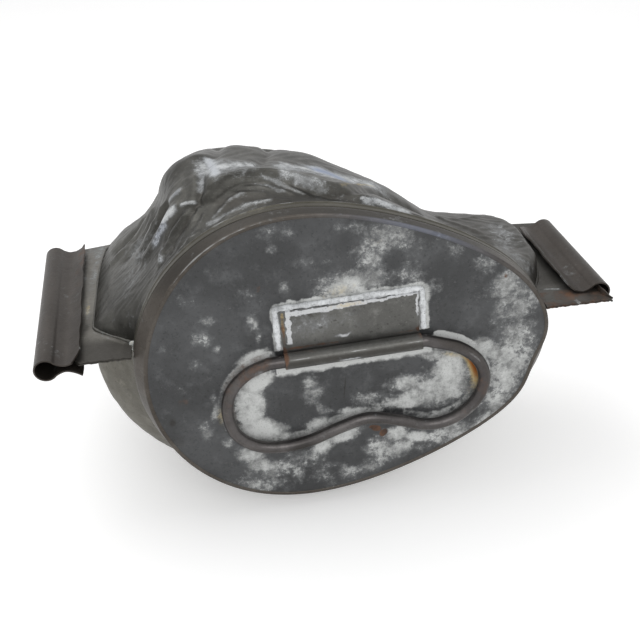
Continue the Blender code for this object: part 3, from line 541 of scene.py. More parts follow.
def make_shell(name, upper):
    """One half shell as an open sheet, pressed by its folds, then given its thickness."""
    marks = {}

    def shape(across, down):
        if upper:
            across = np.interp(across, *FIGURE_COLUMNS)
        depth = row_depth(down)
        place = body_points(upper, across, depth)
        step = 0.002
        side = body_points(upper, np.clip(across + step, 0, 1), depth) \
            - body_points(upper, np.clip(across - step, 0, 1), depth)
        deeper = body_points(upper, across, row_depth(np.clip(down + step, 0, 0.995))) \
            - body_points(upper, across, row_depth(np.clip(down - step, 0, 0.99)))
        normal = np.cross(deeper, side)
        normal /= np.maximum(np.linalg.norm(normal, axis=-1, keepdims=True), 1e-12)
        height = pressed_form(place)
        u, w, t = place.T
        wear, grime, bloom, blue, amber = np.zeros((5, len(place)))
        if upper:
            for fold_height, radius, wear_and_painted_light, stroke in FOLDS:
                near = nearness(place, stroke, radius * MM)
                height = height + fold_height * MM * near * smooth(t, 0.003, 0.010)
                # Each ridge gets wear and a painted highlight, each groove painted shade.
                wear = np.maximum(wear, wear_and_painted_light * near ** 2)
                grime = np.maximum(grime, near * (0.7 if fold_height < 0 else 0))
            for amount, radius, tint, stroke in BODY_BLOOM:
                near = nearness(place, stroke, radius * MM)
                bloom = np.maximum(bloom, amount * near)
                blue = np.maximum(blue, tint * near ** 2)
            amber = 0.42 * nearness(place, YELLOW_EDGE, YELLOW_RADIUS)
            flank = (1 - smooth(u, *FLANK_END_U)) * smooth(t, 0.004, 0.012)
            streaks = np.sin(w * 2300 + 2.2 * np.sin(t * 130 + w * 90))
            streaks = streaks * np.sin(w * 410 + t * 160)
            height = height + STREAK_HEIGHT * streaks * flank
            # Painted shade darkens the right end of the upper shell, outside its bloom.
            grime = np.maximum(grime, 0.62 * smooth(u, *SHADED_END_U) * (1 - bloom))
            # Painted sheen, with some wear, along the raised streaks of the flank.
            wear = wear + STREAK_WEAR_AND_SHEEN * (1 + streaks) * flank
        dents = np.sin(u * 520 + 3 * np.sin(w * 260)) * np.sin(w * 430 + 2 * np.sin(t * 300))
        height = height + DENT_HEIGHT * dents
        place = place + normal * height[:, None]
        place[:, 2] -= LIMIT_EASE * np.maximum(place[:, 2] - CROWN_LIMIT_T, 0)
        place[:, 1] -= LIMIT_EASE * np.maximum(place[:, 1] - FAR_LIMIT_W, 0)
        by_collar = 1 - smooth(w, COLLAR_END_W, COLLAR_END_W + 0.006)
        grime = np.maximum(grime, 0.45 * by_collar)
        low = PARTING_GAP / 2
        limits = (low, None) if upper else (-PARTING_Z, -low)
        place[:, 2] = np.clip(place[:, 2], *limits)
        marks.update(wear=wear, grime=grime, bloom=bloom, blue=blue, amber=amber)
        return in_row(*place.T)

    shell = grid_piece(name, SHELL_COLUMNS[upper], SHELL_ROWS, shape)
    mark(shell, **marks)
    close_up(shell, (0, 0, 1 if upper else -1))
    give_thickness(shell, SHELL_SHEET, -1.0)
    return shell


body_tin = old_tin("body_tin", (0.037, 0.036, 0.032), (0.085, 0.083, 0.075), metallic=0.75,
                   roughness=0.42, gloss=0.14, chalk=(0.54, 0.555, 0.56))
upper_shell = make_shell("upper_shell_pressed", True)
upper_shell.data.materials.append(body_tin)
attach(upper_shell, "mould")
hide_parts("upper_half_shell")

# Lower half shell
# The plainer pressed half that the mould lies on, cut flush at the parting line. Its tin is
# browner than the upper half's, and it rests on a small flat at its belly.
lower_shell = make_shell("lower_shell_pressed", False)
lower_tin = old_tin("lower_tin", (0.100, 0.094, 0.078), (0.165, 0.157, 0.134), roughness=0.5)
lower_shell.data.materials.append(lower_tin)
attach(lower_shell, "mould")
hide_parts("lower_half_shell")

# Mouth bands
# A strip soldered round each half of the mouth, its back edge folded into a thin bead made bright
# by wear and a painted highlight. The lid's rim comes to rest against it, and a dark line shows
# between them, deepened by painted shade on the band's front edge.
BAND_START_W = 0.0004
BAND_END_W = 0.0058
BAND_INSET = 0.00025
BAND_SHEET = 0.0007
BAND_MARGIN = 0.006
BEAD_RISE = 0.00035
BAND_COLUMNS = 400


def ring_piece(name, profile, angles, columns, inset_at):
    """A band round the lid's outline: a closed profile of (w, inset, wear) points swept along it.

    Returns it with the angle and the third value of each of its points: above 0 that is wear and
    painted highlight, below 0 painted shade.
    """
    loop = np.array(profile + profile[:1])
    first, last = angles
    kept = {}

    def shape(across, down):
        angle = first + (last - first) * across
        row = np.rint(down * (len(loop) - 1)).astype(int)
        w = loop[row, 0]
        outline = egg(angle, inset_at(angle, w) + loop[row, 1])
        kept.update(angle=angle, wear=loop[row, 2])
        return in_row(outline[:, 0], w, outline[:, 1])

    piece = grid_piece(name, columns, len(loop) - 1, shape)
    return piece, kept["angle"], kept["wear"]


# Third values: painted shade (below 0) on the band's front edge by the rim, wear and painted
# highlight on the bead.
band_profile = [
    (BAND_START_W, 0.0006, -1), (BAND_START_W + 0.0006, 0.0005, -1),
    (BAND_START_W + 0.0009, 0.0001, -0.3), (BAND_START_W + 0.0013, 0.0, 0),
    (BAND_START_W + 0.0025, 0.0, 0),
    (BAND_END_W - 0.0014, 0.0, 0), (BAND_END_W - 0.0010, -BEAD_RISE * 0.8, 0.6),
    (BAND_END_W - 0.0005, -BEAD_RISE, 1), (BAND_END_W - 0.0001, -BEAD_RISE * 0.6, 0.5),
    (BAND_END_W, 0.0001, 0), (BAND_END_W, BAND_SHEET, 0), (BAND_START_W, BAND_SHEET, 0)]
band_tin = old_tin("band_tin", (0.050, 0.046, 0.035), (0.084, 0.079, 0.064), roughness=0.42)
for half in ("upper", "lower"):
    if half == "upper":
        sweep = (RIGHT_PARTING + BAND_MARGIN, LEFT_PARTING - BAND_MARGIN)
    else:
        sweep = (LEFT_PARTING + BAND_MARGIN, RIGHT_PARTING + math.tau - BAND_MARGIN)
    band, angle, wear_and_painted_light = ring_piece(half + "_band_folded", band_profile, sweep, BAND_COLUMNS,
                                   lambda angle, w: np.full_like(w, BAND_INSET))
    patchy = 0.6 + 0.25 * np.sin(angle * 21 + 1) + 0.15 * np.sin(angle * 57)
    # The bead gets wear and a painted highlight with a little bloom; the front edge gets painted
    # shade.
    shaded = np.maximum(-wear_and_painted_light, 0)
    wear_and_painted_light = np.maximum(wear_and_painted_light, 0)
    mark(band, wear=0.8 * wear_and_painted_light * patchy, grime=0.25 * (1 - wear_and_painted_light) + 0.9 * shaded,
         bloom=0.3 * wear_and_painted_light * patchy)
    close_up(band, open_ends=True)
    band.data.materials.append(band_tin)
    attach(band, "mould")
    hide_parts(half + "_mouth_band")

# Lid rim
# One strip turned round the lid: it flares towards the body at both ends, and its front edge is
# folded inwards over the lid's face. Only the outer corner of that fold is bright, by a painted
# highlight strongest at the upper left; at the upper right the fold has a painted bluish sheen.
RIM_SHEET = 0.0007
FOLD_WIDTH = 0.0019
FOLD_PROUD = 0.00035
RIM_COLUMNS = 720
ARRIS_AT = math.radians(129)
ARRIS_SPREAD = 0.30
rim_profile = [
    (0.0, 0.0003, 0), (-0.0002, 0.0001, 0), (-0.0006, 0.0, 0), (-0.0020, 0.0, 0), (-0.0040, 0.0, 0),
    (FACE_W + 0.0006, 0.0, 0), (FACE_W + 0.0001, 0.00002, 0.5), (FACE_W - 0.0002, 0.0002, 1),
    (FACE_W - FOLD_PROUD * 0.9, 0.0005, 0.4), (FACE_W - FOLD_PROUD, 0.0008, 0.1),
    (FACE_W - FOLD_PROUD, 0.0012, 0), (FACE_W - FOLD_PROUD * 0.8, 0.0016, 0),
    (FACE_W - 0.00008, FOLD_WIDTH, 0.4), (FACE_W - 0.00004, 0.0013, 0),
    (FACE_W + 0.0002, RIM_SHEET, 0), (-0.0040, RIM_SHEET, 0), (-0.0020, RIM_SHEET, 0),
    (-0.0001, RIM_SHEET, 0), (0.0, RIM_SHEET - 0.0001, 0.2)]
rim, angle, wear_and_painted_light = ring_piece("lid_rim_turned", rim_profile, (0.0, math.tau), RIM_COLUMNS,
                              lid_inset)
u, w, t = own_places(rim)
highlight_upper_left = bell(angle, ARRIS_AT, ARRIS_SPREAD)
patchy = 0.75 + 0.15 * np.sin(angle * 17) + 0.10 * np.sin(angle * 71 + 2)
in_crease = smooth(-w, -FACE_W - 0.0004, -FACE_W) * (wear_and_painted_light == 0)
sheen_upper_right = bell(u, 0.130, 0.027) * (t > 0)
# The rim's skirt is made darker towards the top.
top_darkening = 0.85 * smooth(t, 0.015, 0.045) * (w > FACE_W + 0.0004)
# Painted highlight on the fold's outer corner, strongest at the upper left; painted bluish sheen on
# the fold at the upper right.
mark(rim, wear=wear_and_painted_light * (0.22 + 1.15 * highlight_upper_left) * patchy,
     grime=np.maximum(0.30 * in_crease, top_darkening), bloom=0.35 * wear_and_painted_light * highlight_upper_left,
     blue=1.6 * sheen_upper_right * (w < FACE_W + 0.0003), rust=0.16 * (1 - wear_and_painted_light) * (w > -0.0055))
close_up(rim)
rim_tin = old_tin("rim_tin", (0.058, 0.050, 0.042), (0.090, 0.080, 0.070), roughness=0.46)
rim.data.materials.append(rim_tin)
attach(rim, "lid")
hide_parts("lid_rim")

# Lid plate
# The flat egg-shaped face, not quite true, dark slate tin under patches of chalky bloom. The
# bloom follows the handle and the solder, where damp stayed, and the worst stain is amber.
PLATE_SHEET = 0.0008
PLATE_CLEAR = 0.0008
PLATE_COLUMNS = 374
PLATE_ROWS = 130
BAIL_ROUTE = (
    (0.0600, -0.0060), (0.0505, -0.0098), (0.0425, -0.0180), (0.0396, -0.0290),
    (0.0420, -0.0418), (0.0500, -0.0500), (0.0610, -0.0532), (0.0750, -0.0520),
    (0.0900, -0.0466), (0.1040, -0.0430), (0.1190, -0.0464), (0.1330, -0.0512),
    (0.1460, -0.0490), (0.1560, -0.0405), (0.1598, -0.0290), (0.1565, -0.0180),
    (0.1480, -0.0100), (0.1390, -0.0062))
STRAP_LEFT_U = 0.0675
STRAP_RIGHT_U = 0.1298
STRAP_TOP_T = 0.0182
TUBE_T = -0.0058
STRAP_TILT = math.radians(1.9)
WIRE_STEPS = 160
STAIN_AT = 0.86
STAIN_SPREAD = 0.074

# Bloom on the face: amount, then x and z of its middle, half its width and height, and its lean
# where it isn't the usual one, in millimetres and degrees of the row frame. Bare places, rust,
# grime and amber stains are kept the same way. Most middles and sizes were picked by eye in the
# photograph and turned into millimetres by a scratch script.
USUAL_LEAN = -4
FACE_BLOOM = (
    (0.80, 10, 123, 13, 6.4, 4), (0.60, 2, 122, 6, 3.8, 6), (0.60, 21, 134, 6.9, 7.6),
    (0.45, 25, 139, 4.3, 5.4), (0.54, 30, 144, 9.6, 7.5, -19), (0.50, 34, 139, 3.4, 5.4),
    (0.35, 12, 151, 9.5, 4.3), (0.50, 24, 125, 8.6, 6.5), (0.50, 47, 116, 6.5, 5.9),
    (0.32, 57, 135, 5.2, 4.9), (0.45, 72, 127, 5.6, 4.9, -34), (0.62, 81, 115, 5.6, 7.6, -34),
    (0.58, 92, 103, 5.2, 11.9, -39), (0.60, 88, 87, 8.6, 9.7), (0.68, 87, 76, 10.3, 13),
    (0.85, 74, 81, 8.6, 4.9, -34), (0.68, 82, 64, 9.5, 14, 6), (0.70, 79, 52, 6, 8.6, 21),
    (0.75, 76, 40, 10.3, 5.9, 26), (0.60, 59, 32, 9.5, 4.9, 24), (0.80, 57, 41, 5.2, 2.7, 16),
    (0.82, 48, 61, 17.2, 8.1, 4), (0.95, 57, 73, 8.6, 10.8), (0.84, 35, 57, 15.5, 4.3, -1),
    (0.75, 35, 68, 9.5, 5.4, 1), (0.70, 48, 82, 7.7, 3.8, 1), (0.55, 20, 62, 11.2, 4.3),
    (0.45, -9, 70, 7.7, 7.6), (0.50, -3, 60, 4.3, 4.3), (0.95, -7, 51, 6, 3.2, 16),
    (0.80, 7, 56, 4.3, 2.2), (0.55, -10, 74, 4.3, 3.2, -24), (0.50, -0, 76, 3.4, 2.7),
    (0.50, -33, 110, 2.6, 4.9), (0.46, -31, 103, 1.7, 4.3), (0.52, -52, 114, 3.9, 3.2, 6),
    (0.50, -55, 105, 5.2, 4.3, 26), (0.45, -50, 99, 2.1, 2.2), (0.34, -60, 92, 3.9, 3.2, 26),
    (0.35, -55, 84, 2.1, 2.2), (0.28, -67, 79, 3, 2.7), (1.05, -34, 93, 7.3, 2.2, 21),
    (0.70, -54, 65, 1.7, 5.4, -14), (0.50, -54, 73, 1.7, 4.3), (0.45, -59, 55, 3.4, 4.9),
    (0.52, -50, 47, 3.4, 4.3, -34), (0.78, -40, 38, 6.5, 4.9, -29),
    (0.80, -34, 30, 7.7, 3.8, -14), (0.56, -28, 27, 12.2, 6.4), (0.52, -33, 19, 12.2, 5.3),
    (0.50, -18, 22, 4.3, 6.5), (1.08, -38, 65, 7.2, 13), (1.12, -33, 52, 10, 6.6, -29),
    (1.15, -33, 78, 8.6, 4.3, 26), (0.80, -23, 46, 3.9, 2.7, 6), (1.00, -6, 37, 5.2, 4.3, 16),
    (1.10, 5, 42, 7.7, 3.8, 16), (0.75, 21, 32, 6.9, 6.5), (0.95, 30, 39, 6, 4.3),
    (0.95, 43, 35, 8.6, 3.2, -12), (0.70, 32, 30, 9.5, 4.3, 11), (0.55, 20, 22, 7.7, 3.8, 16),
    (0.50, 7, 21, 6, 5.4), (0.35, -8, 20, 8.6, 6.5), (0.30, 3, 31, 6, 5.4),
    (0.60, 25, 25, 6, 3.2, 16), (0.36, -21, 152, 7.2, 4.2), (0.36, -16, 151, 5, 4.2),
    (0.44, -22, 145, 2.6, 2.7), (0.30, -10, 138, 4.3, 3.2), (0.40, -18, 126, 2.1, 2.7),
    (0.30, -49, 137, 3.9, 3.2), (0.16, -63, 126, 3.9, 3.8), (0.14, -35, 126, 3.9, 3.2),
    (0.26, -74, 102, 2.1, 2.7), (0.42, 85, 103, 9, 18, -34), (0.46, 90, 78, 7, 18, 2),
    (0.44, 78, 50, 11, 12, 35), (0.54, 52, 34, 18, 6, 18), (0.38, 20, 25, 20, 5, 8),
    (0.32, -14, 25, 16, 6, -8), (0.50, 26, 138, 14, 9, -14), (0.46, 36, 124, 9, 8, 0),
    (0.60, 34, 58, 22, 6, 6), (0.54, -9, 35, 14, 7, 14), (1.20, 49.5, 85.6, 0.9, 0.8, 0))
FACE_CLEAR = (
    (0.80, -22, 68, 6.5, 11), (0.80, 7, 76, 9.5, 5.4, 8), (0.80, 40, 77, 6, 3.2),
    (0.35, 31, 135, 4.3, 4.9), (0.45, 3, 144, 6, 6.5), (0.80, 4, 32, 5.6, 4.3),
    (0.50, 51, 106, 11.2, 10.8), (0.60, -1, 64, 3.4, 4.3), (0.40, 8, 27, 4.3, 4.3),
    (0.70, -14, 40, 3.4, 3.2))
FACE_RUST = (
    (1.20, 20.6, 43.8, 2.5, 1.6, -22), (1.20, 24.4, 40.6, 1.8, 2.4, -30),
    (0.90, 18.6, 44.9, 1.5, 1.0, 10), (0.55, -68, 73, 3.9, 3.8), (0.35, -70, 78, 2.1, 2.2),
    (0.60, 81, 119, 1.3, 1.6), (0.50, -29, 127, 1.3, 2.2), (0.35, 51, 95, 1.7, 1.6))
FACE_GRIME = (
    (0.80, -74, 62, 2.1, 2.7), (0.45, -74, 52, 6.9, 6.5), (0.35, 51, 106, 12.9, 13.5),
    (0.30, -47, 151, 17.2, 6.5), (0.50, 20, 37, 5.2, 1.6, -59), (0.80, 50, 58, 0.45, 15, -3),
    (0.70, 6.4, 69, 0.45, 9, -6), (0.40, -69, 34, 8.6, 8.1), (0.45, 26, 27, 3.4, 1.1, -54),
    (0.50, 11, 44, 1.7, 4.3, 16))
FACE_AMBER = (
    (0.14, 21, 143, 12, 3, 2), (0.42, 57, 80.5, 5, 1.5, -18), (0.28, 6, 121, 9, 4, 12),
    (0.35, -51, 62, 3, 5, 0))


def patches(x, z, spots):
    """Soft oval patches laid over the face, the strongest one counting at each point."""
    total = np.zeros(len(x))
    for amount, middle_x, middle_z, half_x, half_z, *lean in spots:
        turn = math.radians(lean[0] if lean else USUAL_LEAN)
        dx = x / MM - middle_x
        dz = z / MM - middle_z
        along_x = (dx * math.cos(turn) + dz * math.sin(turn)) / half_x
        along_z = (dz * math.cos(turn) - dx * math.sin(turn)) / half_z
        total = np.maximum(total, amount * (1 - smooth(np.hypot(along_x, along_z), 0.20, 1.75)))
    return total


def strap_line(x, y, z):
    """Row frame points of the strap's own coordinates: along the tube, out of the lid, and up."""
    u = STRAP_LEFT_U + x * math.cos(STRAP_TILT) - z * math.sin(STRAP_TILT)
    t = TUBE_T + z * math.cos(STRAP_TILT) + x * math.sin(STRAP_TILT)
    return in_row(u, y, t)


def on_strap(u, t):
    """Places along and up the strap, from its left end and the middle of its tube."""
    strap_x = u - STRAP_LEFT_U
    return strap_x, t - TUBE_T - strap_x * math.sin(STRAP_TILT)


def beside_route(route, u, t):
    """Share of a route at its nearest point, the gap to it, and how far outside the loop it is."""
    gaps = np.hypot(u[:, None] - route[:, 0], t[:, None] - route[:, 1])
    closest = gaps.argmin(axis=1)
    reach = np.hypot(route[closest, 0] - middle_u, route[closest, 1] - middle_t)
    past = np.hypot(u - middle_u, t - middle_t) - reach
    return closest / (len(route) - 1), gaps.min(axis=1), past


def plate_shape(across, down):
    """The plate from its edge (down 0) to its middle (down 1)."""
    angle = math.tau * across
    edge = egg(angle, rim_flare(angle) + RIM_SHEET + PLATE_CLEAR)
    middle = np.array([EGG_HALF_LENGTH - 0.008, EGG_AXIS_T])
    flat = middle + (edge - middle) * ((1 - down) ** 0.9)[:, None]
    u, t = flat[:, 0], flat[:, 1]
    bow = 0.00010 * np.sin(u * 61 + 1.0) * np.sin(t * 83) + 0.00008 * np.sin(u * 160 - t * 120)
    return in_row(u, FACE_W + bow * smooth(down, 0.0, 0.12), t)


plate = grid_piece("lid_face_plate", PLATE_COLUMNS, PLATE_ROWS, plate_shape)
u, w, t = own_places(plate)
x, z = u + LID_LEFT_X, t + PARTING_Z
wire = along(BAIL_ROUTE, np.linspace(0, 1, WIRE_STEPS))
middle_u, middle_t = wire.mean(axis=0)
wire_share, wire_gap, past_wire = beside_route(wire, u, t)
outside = past_wire > 0
strap_x, strap_z = on_strap(u, t)
strap_length = STRAP_RIGHT_U - STRAP_LEFT_U
strap_height = STRAP_TOP_T - TUBE_T
out_x = strongest(-strap_x, strap_x - strap_length, 0)
out_z = strongest(-strap_z, strap_z - strap_height, 0)
strap_gap = np.hypot(out_x, out_z)
beside_wire = 1 - smooth(wire_gap, 0.0034, 0.0054)
patchy = 0.5 + 0.5 * np.sin(wire_share * 23 + 0.6) * np.sin(wire_share * 9)
bloom = np.maximum(patches(x, z, FACE_BLOOM), beside_wire * (0.40 + 0.35 * patchy))
clear = patches(x, z, FACE_CLEAR) * (wire_gap > 0.006)
ragged = 0.0007 * uneven(strap_x + 1, 0.0035, 7) + 0.0004 * uneven(strap_x + 1, 0.0011, 8)
below_tube = smooth(-strap_z, 0.0040, 0.0050) * (1 - smooth(-strap_z + ragged, 0.0080, 0.0118))
below_tube *= (strap_x > -0.004) * (strap_x < strap_length + 0.006)
shore = strap_gap + 0.0007 * uneven(strap_x + strap_z + 1, 0.0028, 31)
shore = shore + 0.0004 * uneven(strap_x + 1, 0.0009, 32)
round_solder = (1 - smooth(shore, 0.0032, 0.0050)) * (strap_z > 0.0035)
shoulders = (wire_share < 0.06) + (wire_share > 0.90)
on_shoulders = (1 - smooth(wire_gap, 0.0036, 0.0052)) * shoulders * outside
bloom = strongest(np.clip(bloom - clear, 0, 2), 1.4 * below_tube, round_solder, 1.2 * on_shoulders)
stain = bell(wire_share, STAIN_AT, STAIN_SPREAD) * (1 - smooth(wire_gap, 0.0028, 0.0076))
amber = np.maximum(1.05 * stain * ~outside, patches(x, z, FACE_AMBER))
under_wire = (1 - smooth(wire_gap, 0.0032, 0.0046)) * (wire_share < 0.25)
rust = np.maximum(patches(x, z, FACE_RUST), 0.45 * under_wire)
# Painted shade on the face right under the wire.
grime = np.maximum(patches(x, z, FACE_GRIME), 0.35 * (1 - smooth(wire_gap, 0.0020, 0.0034)))
mark(plate, wear=0.03, grime=grime, bloom=bloom, rust=rust, amber=amber)
close_up(plate, (0, -1, 0))
give_thickness(plate, PLATE_SHEET, -1.0)
face_tin = old_tin("face_tin", (0.052, 0.053, 0.054), (0.082, 0.084, 0.086), roughness=0.52,
                   chalk=(0.56, 0.57, 0.56))
plate.data.materials.append(face_tin)
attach(plate, "lid")
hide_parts("lid_plate")

# Handle strap
# A rectangle of thin tin soldered to the lid, its lower edge rolled round the wire. An oxide
# line runs just inside three edges, and rust has started at both ends of the roll.
STRAP_SHEET = 0.00055
TUBE_INNER_RADIUS = 0.0032
TUBE_OUTER_RADIUS = TUBE_INNER_RADIUS + STRAP_SHEET
TUBE_W = FACE_W - 0.0003 - TUBE_OUTER_RADIUS
ROLL = math.radians(318)
ROLL_FROM_ROW = 0.34
STRAP_COLUMNS = 260
STRAP_ROWS = 130


def strap_shape(across, down):
    """The strap from its top edge (down 0) to the end of its roll (down 1)."""
    radius = TUBE_INNER_RADIUS + STRAP_SHEET / 2
    flat = np.clip(down / ROLL_FROM_ROW, 0, 1)
    turn = -ROLL * np.clip((down - ROLL_FROM_ROW) / (1 - ROLL_FROM_ROW), 0, 1)
    out = radius * np.cos(turn)
    up = radius * np.sin(turn) + (1 - flat) * strap_height
    outwards = np.where(across < 0.5, -1, 1) * (np.abs(across - 0.5) > 0.49)
    ragged = 0.00010 * np.sin(down * 40) * outwards
    return strap_line(across * strap_length + ragged, TUBE_W + out, up)


def band_between(gap, start, end, edge):
    """1 between start and end, with edges this soft."""
    return smooth(gap, start - edge, start) * (1 - smooth(gap, end, end + edge))


def strap_spot(x, z, spreads):
    """1 at a place on the strap, falling off along it and up it over the two spreads."""
    return bell(strap_x, x, spreads[0]) * bell(strap_z, z, spreads[1])


strap = grid_piece("handle_strap_rolled", STRAP_COLUMNS, STRAP_ROWS, strap_shape)
u, w, t = own_places(strap)
strap_x, strap_z = on_strap(u, t)
gap_right = strap_length - strap_x
gap_top = strap_height - strap_z
on_plate = strap_z > 0.0045
wander = 0.0005 * uneven(strap_x - strap_z + 1, 0.0030, 11)
wander = wander + 0.0003 * uneven(strap_x + strap_z + 1, 0.0009, 12)
thinning = smooth(gap_right, 0.0, 0.045)
top_line = band_between(gap_top + wander, 0.0007, 0.0012 + 0.0015 * thinning, 0.0004)
left_line = band_between(strap_x + wander, 0.0021, 0.0036, 0.0006) * smooth(strap_z, 0.0060, 0.0075)
right_line = band_between(gap_right + wander, 0.0006, 0.0013, 0.0004)
right_line = right_line * smooth(strap_z, 0.009, 0.016)
lines = strongest(top_line * (strap_x > 0.0020), left_line, right_line) * on_plate
smear_z = 0.0074 + 0.0006 * uneven(strap_x + 1, 0.0016, 43)
smear = strap_spot(0.0275, smear_z, (0.0036, 0.0008)) * on_plate
hazy = strap_spot(0.016, 0.015, (0.016, 0.006)) * on_plate
on_tube = strap_spot(0.030, -0.0016, (0.006, 0.0008))
bloom = strongest(1.35 * lines, 1.2 * smear, 0.34 * hazy, 0.70 * on_tube)
yellow = top_line * bell(strap_x, 0.0300, 0.0090) * on_plate
left_strip = band_between(strap_x + 0.4 * wander, 0.0, 0.0010, 0.0004)
left_strip = left_strip * (strap_z < strap_height - 0.001)
right_end = strap_spot(strap_length, 0.0046, (0.0028, 0.0020))
low_left = strap_spot(0, 0.003, (0.0022, 0.0040))
crease = bell(strap_z, 0.0043, 0.0011) * (w < TUBE_W + 0.0036)
rust = strongest(0.55 * left_strip, 0.95 * low_left, 0.95 * right_end,
                 crease * (0.50 + 0.20 * np.sin(strap_x * 110)))
specks = uneven(strap_x * 1.7 + strap_z + 1, 0.0011, 41)
specks = smooth(specks * uneven(strap_z - strap_x * 0.4 + 1, 0.0008, 42), 0.30, 0.55) * on_plate
grime = strongest(0.5 * bell(strap_z, 0.0026, 0.0011), 0.80 * bell(strap_z, 0.0002, 0.0026),
                  0.35 * strap_spot(0.010, 0.012, (0.003, 0.001)), 0.65 * specks)
# Two painted highlights run along the roll, one below its middle and one above.
low_glint = bell(strap_z, -0.0019, 0.0004) * (0.6 + 0.4 * np.sin(strap_x * 380 + 1))
high_glint = bell(strap_z, 0.0019, 0.0004) * (0.5 + 0.5 * np.sin(strap_x * 240))
bright_lines = np.maximum(0.85 * low_glint, 0.75 * high_glint)
amber = np.maximum(0.32 * left_strip * smooth(strap_z, 0.008, 0.016), 0.42 * yellow)
mark(strap, wear=bright_lines, grime=grime, bloom=bloom * (1 - left_strip), rust=rust, amber=amber,
     blue=0.35 * band_between(gap_top, 0.0, 0.0004, 0.0002) * on_plate)
close_up(strap, (0, -1, 0))
give_thickness(strap, STRAP_SHEET, 0.0)
strap_tin = old_tin("strap_tin", (0.098, 0.097, 0.091), (0.155, 0.154, 0.145), roughness=0.45,
                    chalk=(0.56, 0.57, 0.58))
strap.data.materials.append(strap_tin)
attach(strap, "lid")
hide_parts("handle_strap")

# Solder round the strap
# A raised, uneven run of solder on three sides of the strap plate, gone white with oxide. A
# thin dark groove is left between it and the plate's edge.
SOLDER_WIDTH = 0.00135
SOLDER_HEIGHT = 0.0011
SOLDER_GROOVE = 0.00045
SOLDER_CORNER = 0.0012
SOLDER_LOW_Z = TUBE_INNER_RADIUS + 0.0010
SOLDER_COLUMNS = 420
SOLDER_SIDES = 16


def steps_along(line):
    """The distance of each point of a line from its first point."""
    return np.concatenate([[0], np.cumsum(np.linalg.norm(np.diff(line, axis=0), axis=1))])


def tube_piece(name, line, columns, sides, radii, wobble, ends):
    """A rod along points that keep to a plane of constant y, rounded shut over its two ends."""
    line = np.array(line)
    reach = steps_along(line)
    length = reach[-1]

    def point(at):
        return np.stack([np.interp(at, reach, line[:, i]) for i in range(3)], -1)

    def shape(across, down):
        at = across * length
        step = length / columns
        run = point(at + step) - point(at - step)
        run /= np.linalg.norm(run, axis=-1, keepdims=True)
        side = np.cross(run, (0, 1, 0))
        turn = math.tau * down
        swell = 1 + wobble * (0.6 * uneven(at, 0.0045, 3) + 0.4 * uneven(at, 0.0013, 4))
        swell = swell * np.sqrt(np.clip(np.minimum(at, length - at) / ends, 0, 1))
        outward = np.cos(turn) * radii[0] * swell
        forward = np.sin(turn) * radii[1] * swell
        return point(at) + side * outward[:, None] + np.array([0, 1, 0]) * forward[:, None]

    return grid_piece(name, columns, sides, shape)


solder_out = SOLDER_WIDTH + SOLDER_GROOVE
solder_top = strap_height + solder_out
solder_route = []
for edge, inward in ((-solder_out, 1), (strap_length + solder_out, -1)):
    turning = [(edge, SOLDER_LOW_Z)]
    turning += [(edge + inward * SOLDER_CORNER * a, solder_top - SOLDER_CORNER * b)
                for a, b in ((0, 1), (0.3, 0.3), (1, 0))]
    solder_route += turning[::inward]
solder_line = [strap_line(x, FACE_W - SOLDER_HEIGHT, z) for x, z in solder_route]
strap_solder = tube_piece("strap_solder_run", solder_line, SOLDER_COLUMNS, SOLDER_SIDES,
                          (SOLDER_WIDTH, SOLDER_HEIGHT), wobble=0.36, ends=0.0012)
mark(strap_solder, wear=0.3, bloom=0.88)
close_up(strap_solder)
solder_white = old_tin("solder_white", (0.22, 0.22, 0.215), (0.30, 0.31, 0.305), metallic=0.4,
                       roughness=0.6, chalk=(0.70, 0.72, 0.735))
strap_solder.data.materials.append(solder_white)
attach(strap_solder, "lid")
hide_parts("strap_solder")

# Bail handle
# Thick iron wire bent to a bean-shaped loop, its ends butted inside the roll. It is dark brown
# with a painted highlight along its outside, a faint painted bluish reflection on its inside, and
# rust at its left shoulder and right lobe.
WIRE_RADIUS = 0.00285
BAIL_COLUMNS = 640
BAIL_SIDES = 32
BAIL_STEPS = 170
FINE_STEPS = 900
WIRE_RUST = (
    (0.50, -33, 88, 16, 9, 35), (0.42, -46, 74, 7, 12, 0), (0.50, 70, 66, 4, 16, 10),
    (0.30, 60, 52, 10, 5, 35))
WIRE_GRIME = ((0.8, -16, 43, 8, 4, 15), (0.5, 20, 53, 14, 3, 0), (0.5, 58, 89, 8, 4, 0))
WIRE_BLOOM = ((0.5, -33, 86, 3, 2, 40),)
BUTT_GAP = 0.0006
TUBE_CLEAR = 0.002
bail_line = [strap_line(at, TUBE_W, 0) for at in (strap_length / 2 - BUTT_GAP, -TUBE_CLEAR)]
bail_line += [in_row(u, TUBE_W, t) for u, t in along(BAIL_ROUTE, np.linspace(0, 1, BAIL_STEPS))]
bail_line += [strap_line(at, TUBE_W, 0)
              for at in (strap_length + TUBE_CLEAR, strap_length / 2 + BUTT_GAP)]
bail = tube_piece("bail_wire_loop", bail_line, BAIL_COLUMNS, BAIL_SIDES, (WIRE_RADIUS, WIRE_RADIUS),
                  wobble=0.004, ends=0.0008)
u, w, t = own_places(bail)
x, z = u + LID_LEFT_X, t + PARTING_Z
outward = beside_route(along(BAIL_ROUTE, np.linspace(0, 1, FINE_STEPS)), u, t)[2]
# A painted highlight along the front of the wire's outside.
painted_highlight = bell(outward, 0.0007, 0.0007) * (w < TUBE_W)
painted_highlight = painted_highlight * (0.35 + 0.3 * np.sin(x * 210) * np.sin(z * 170))
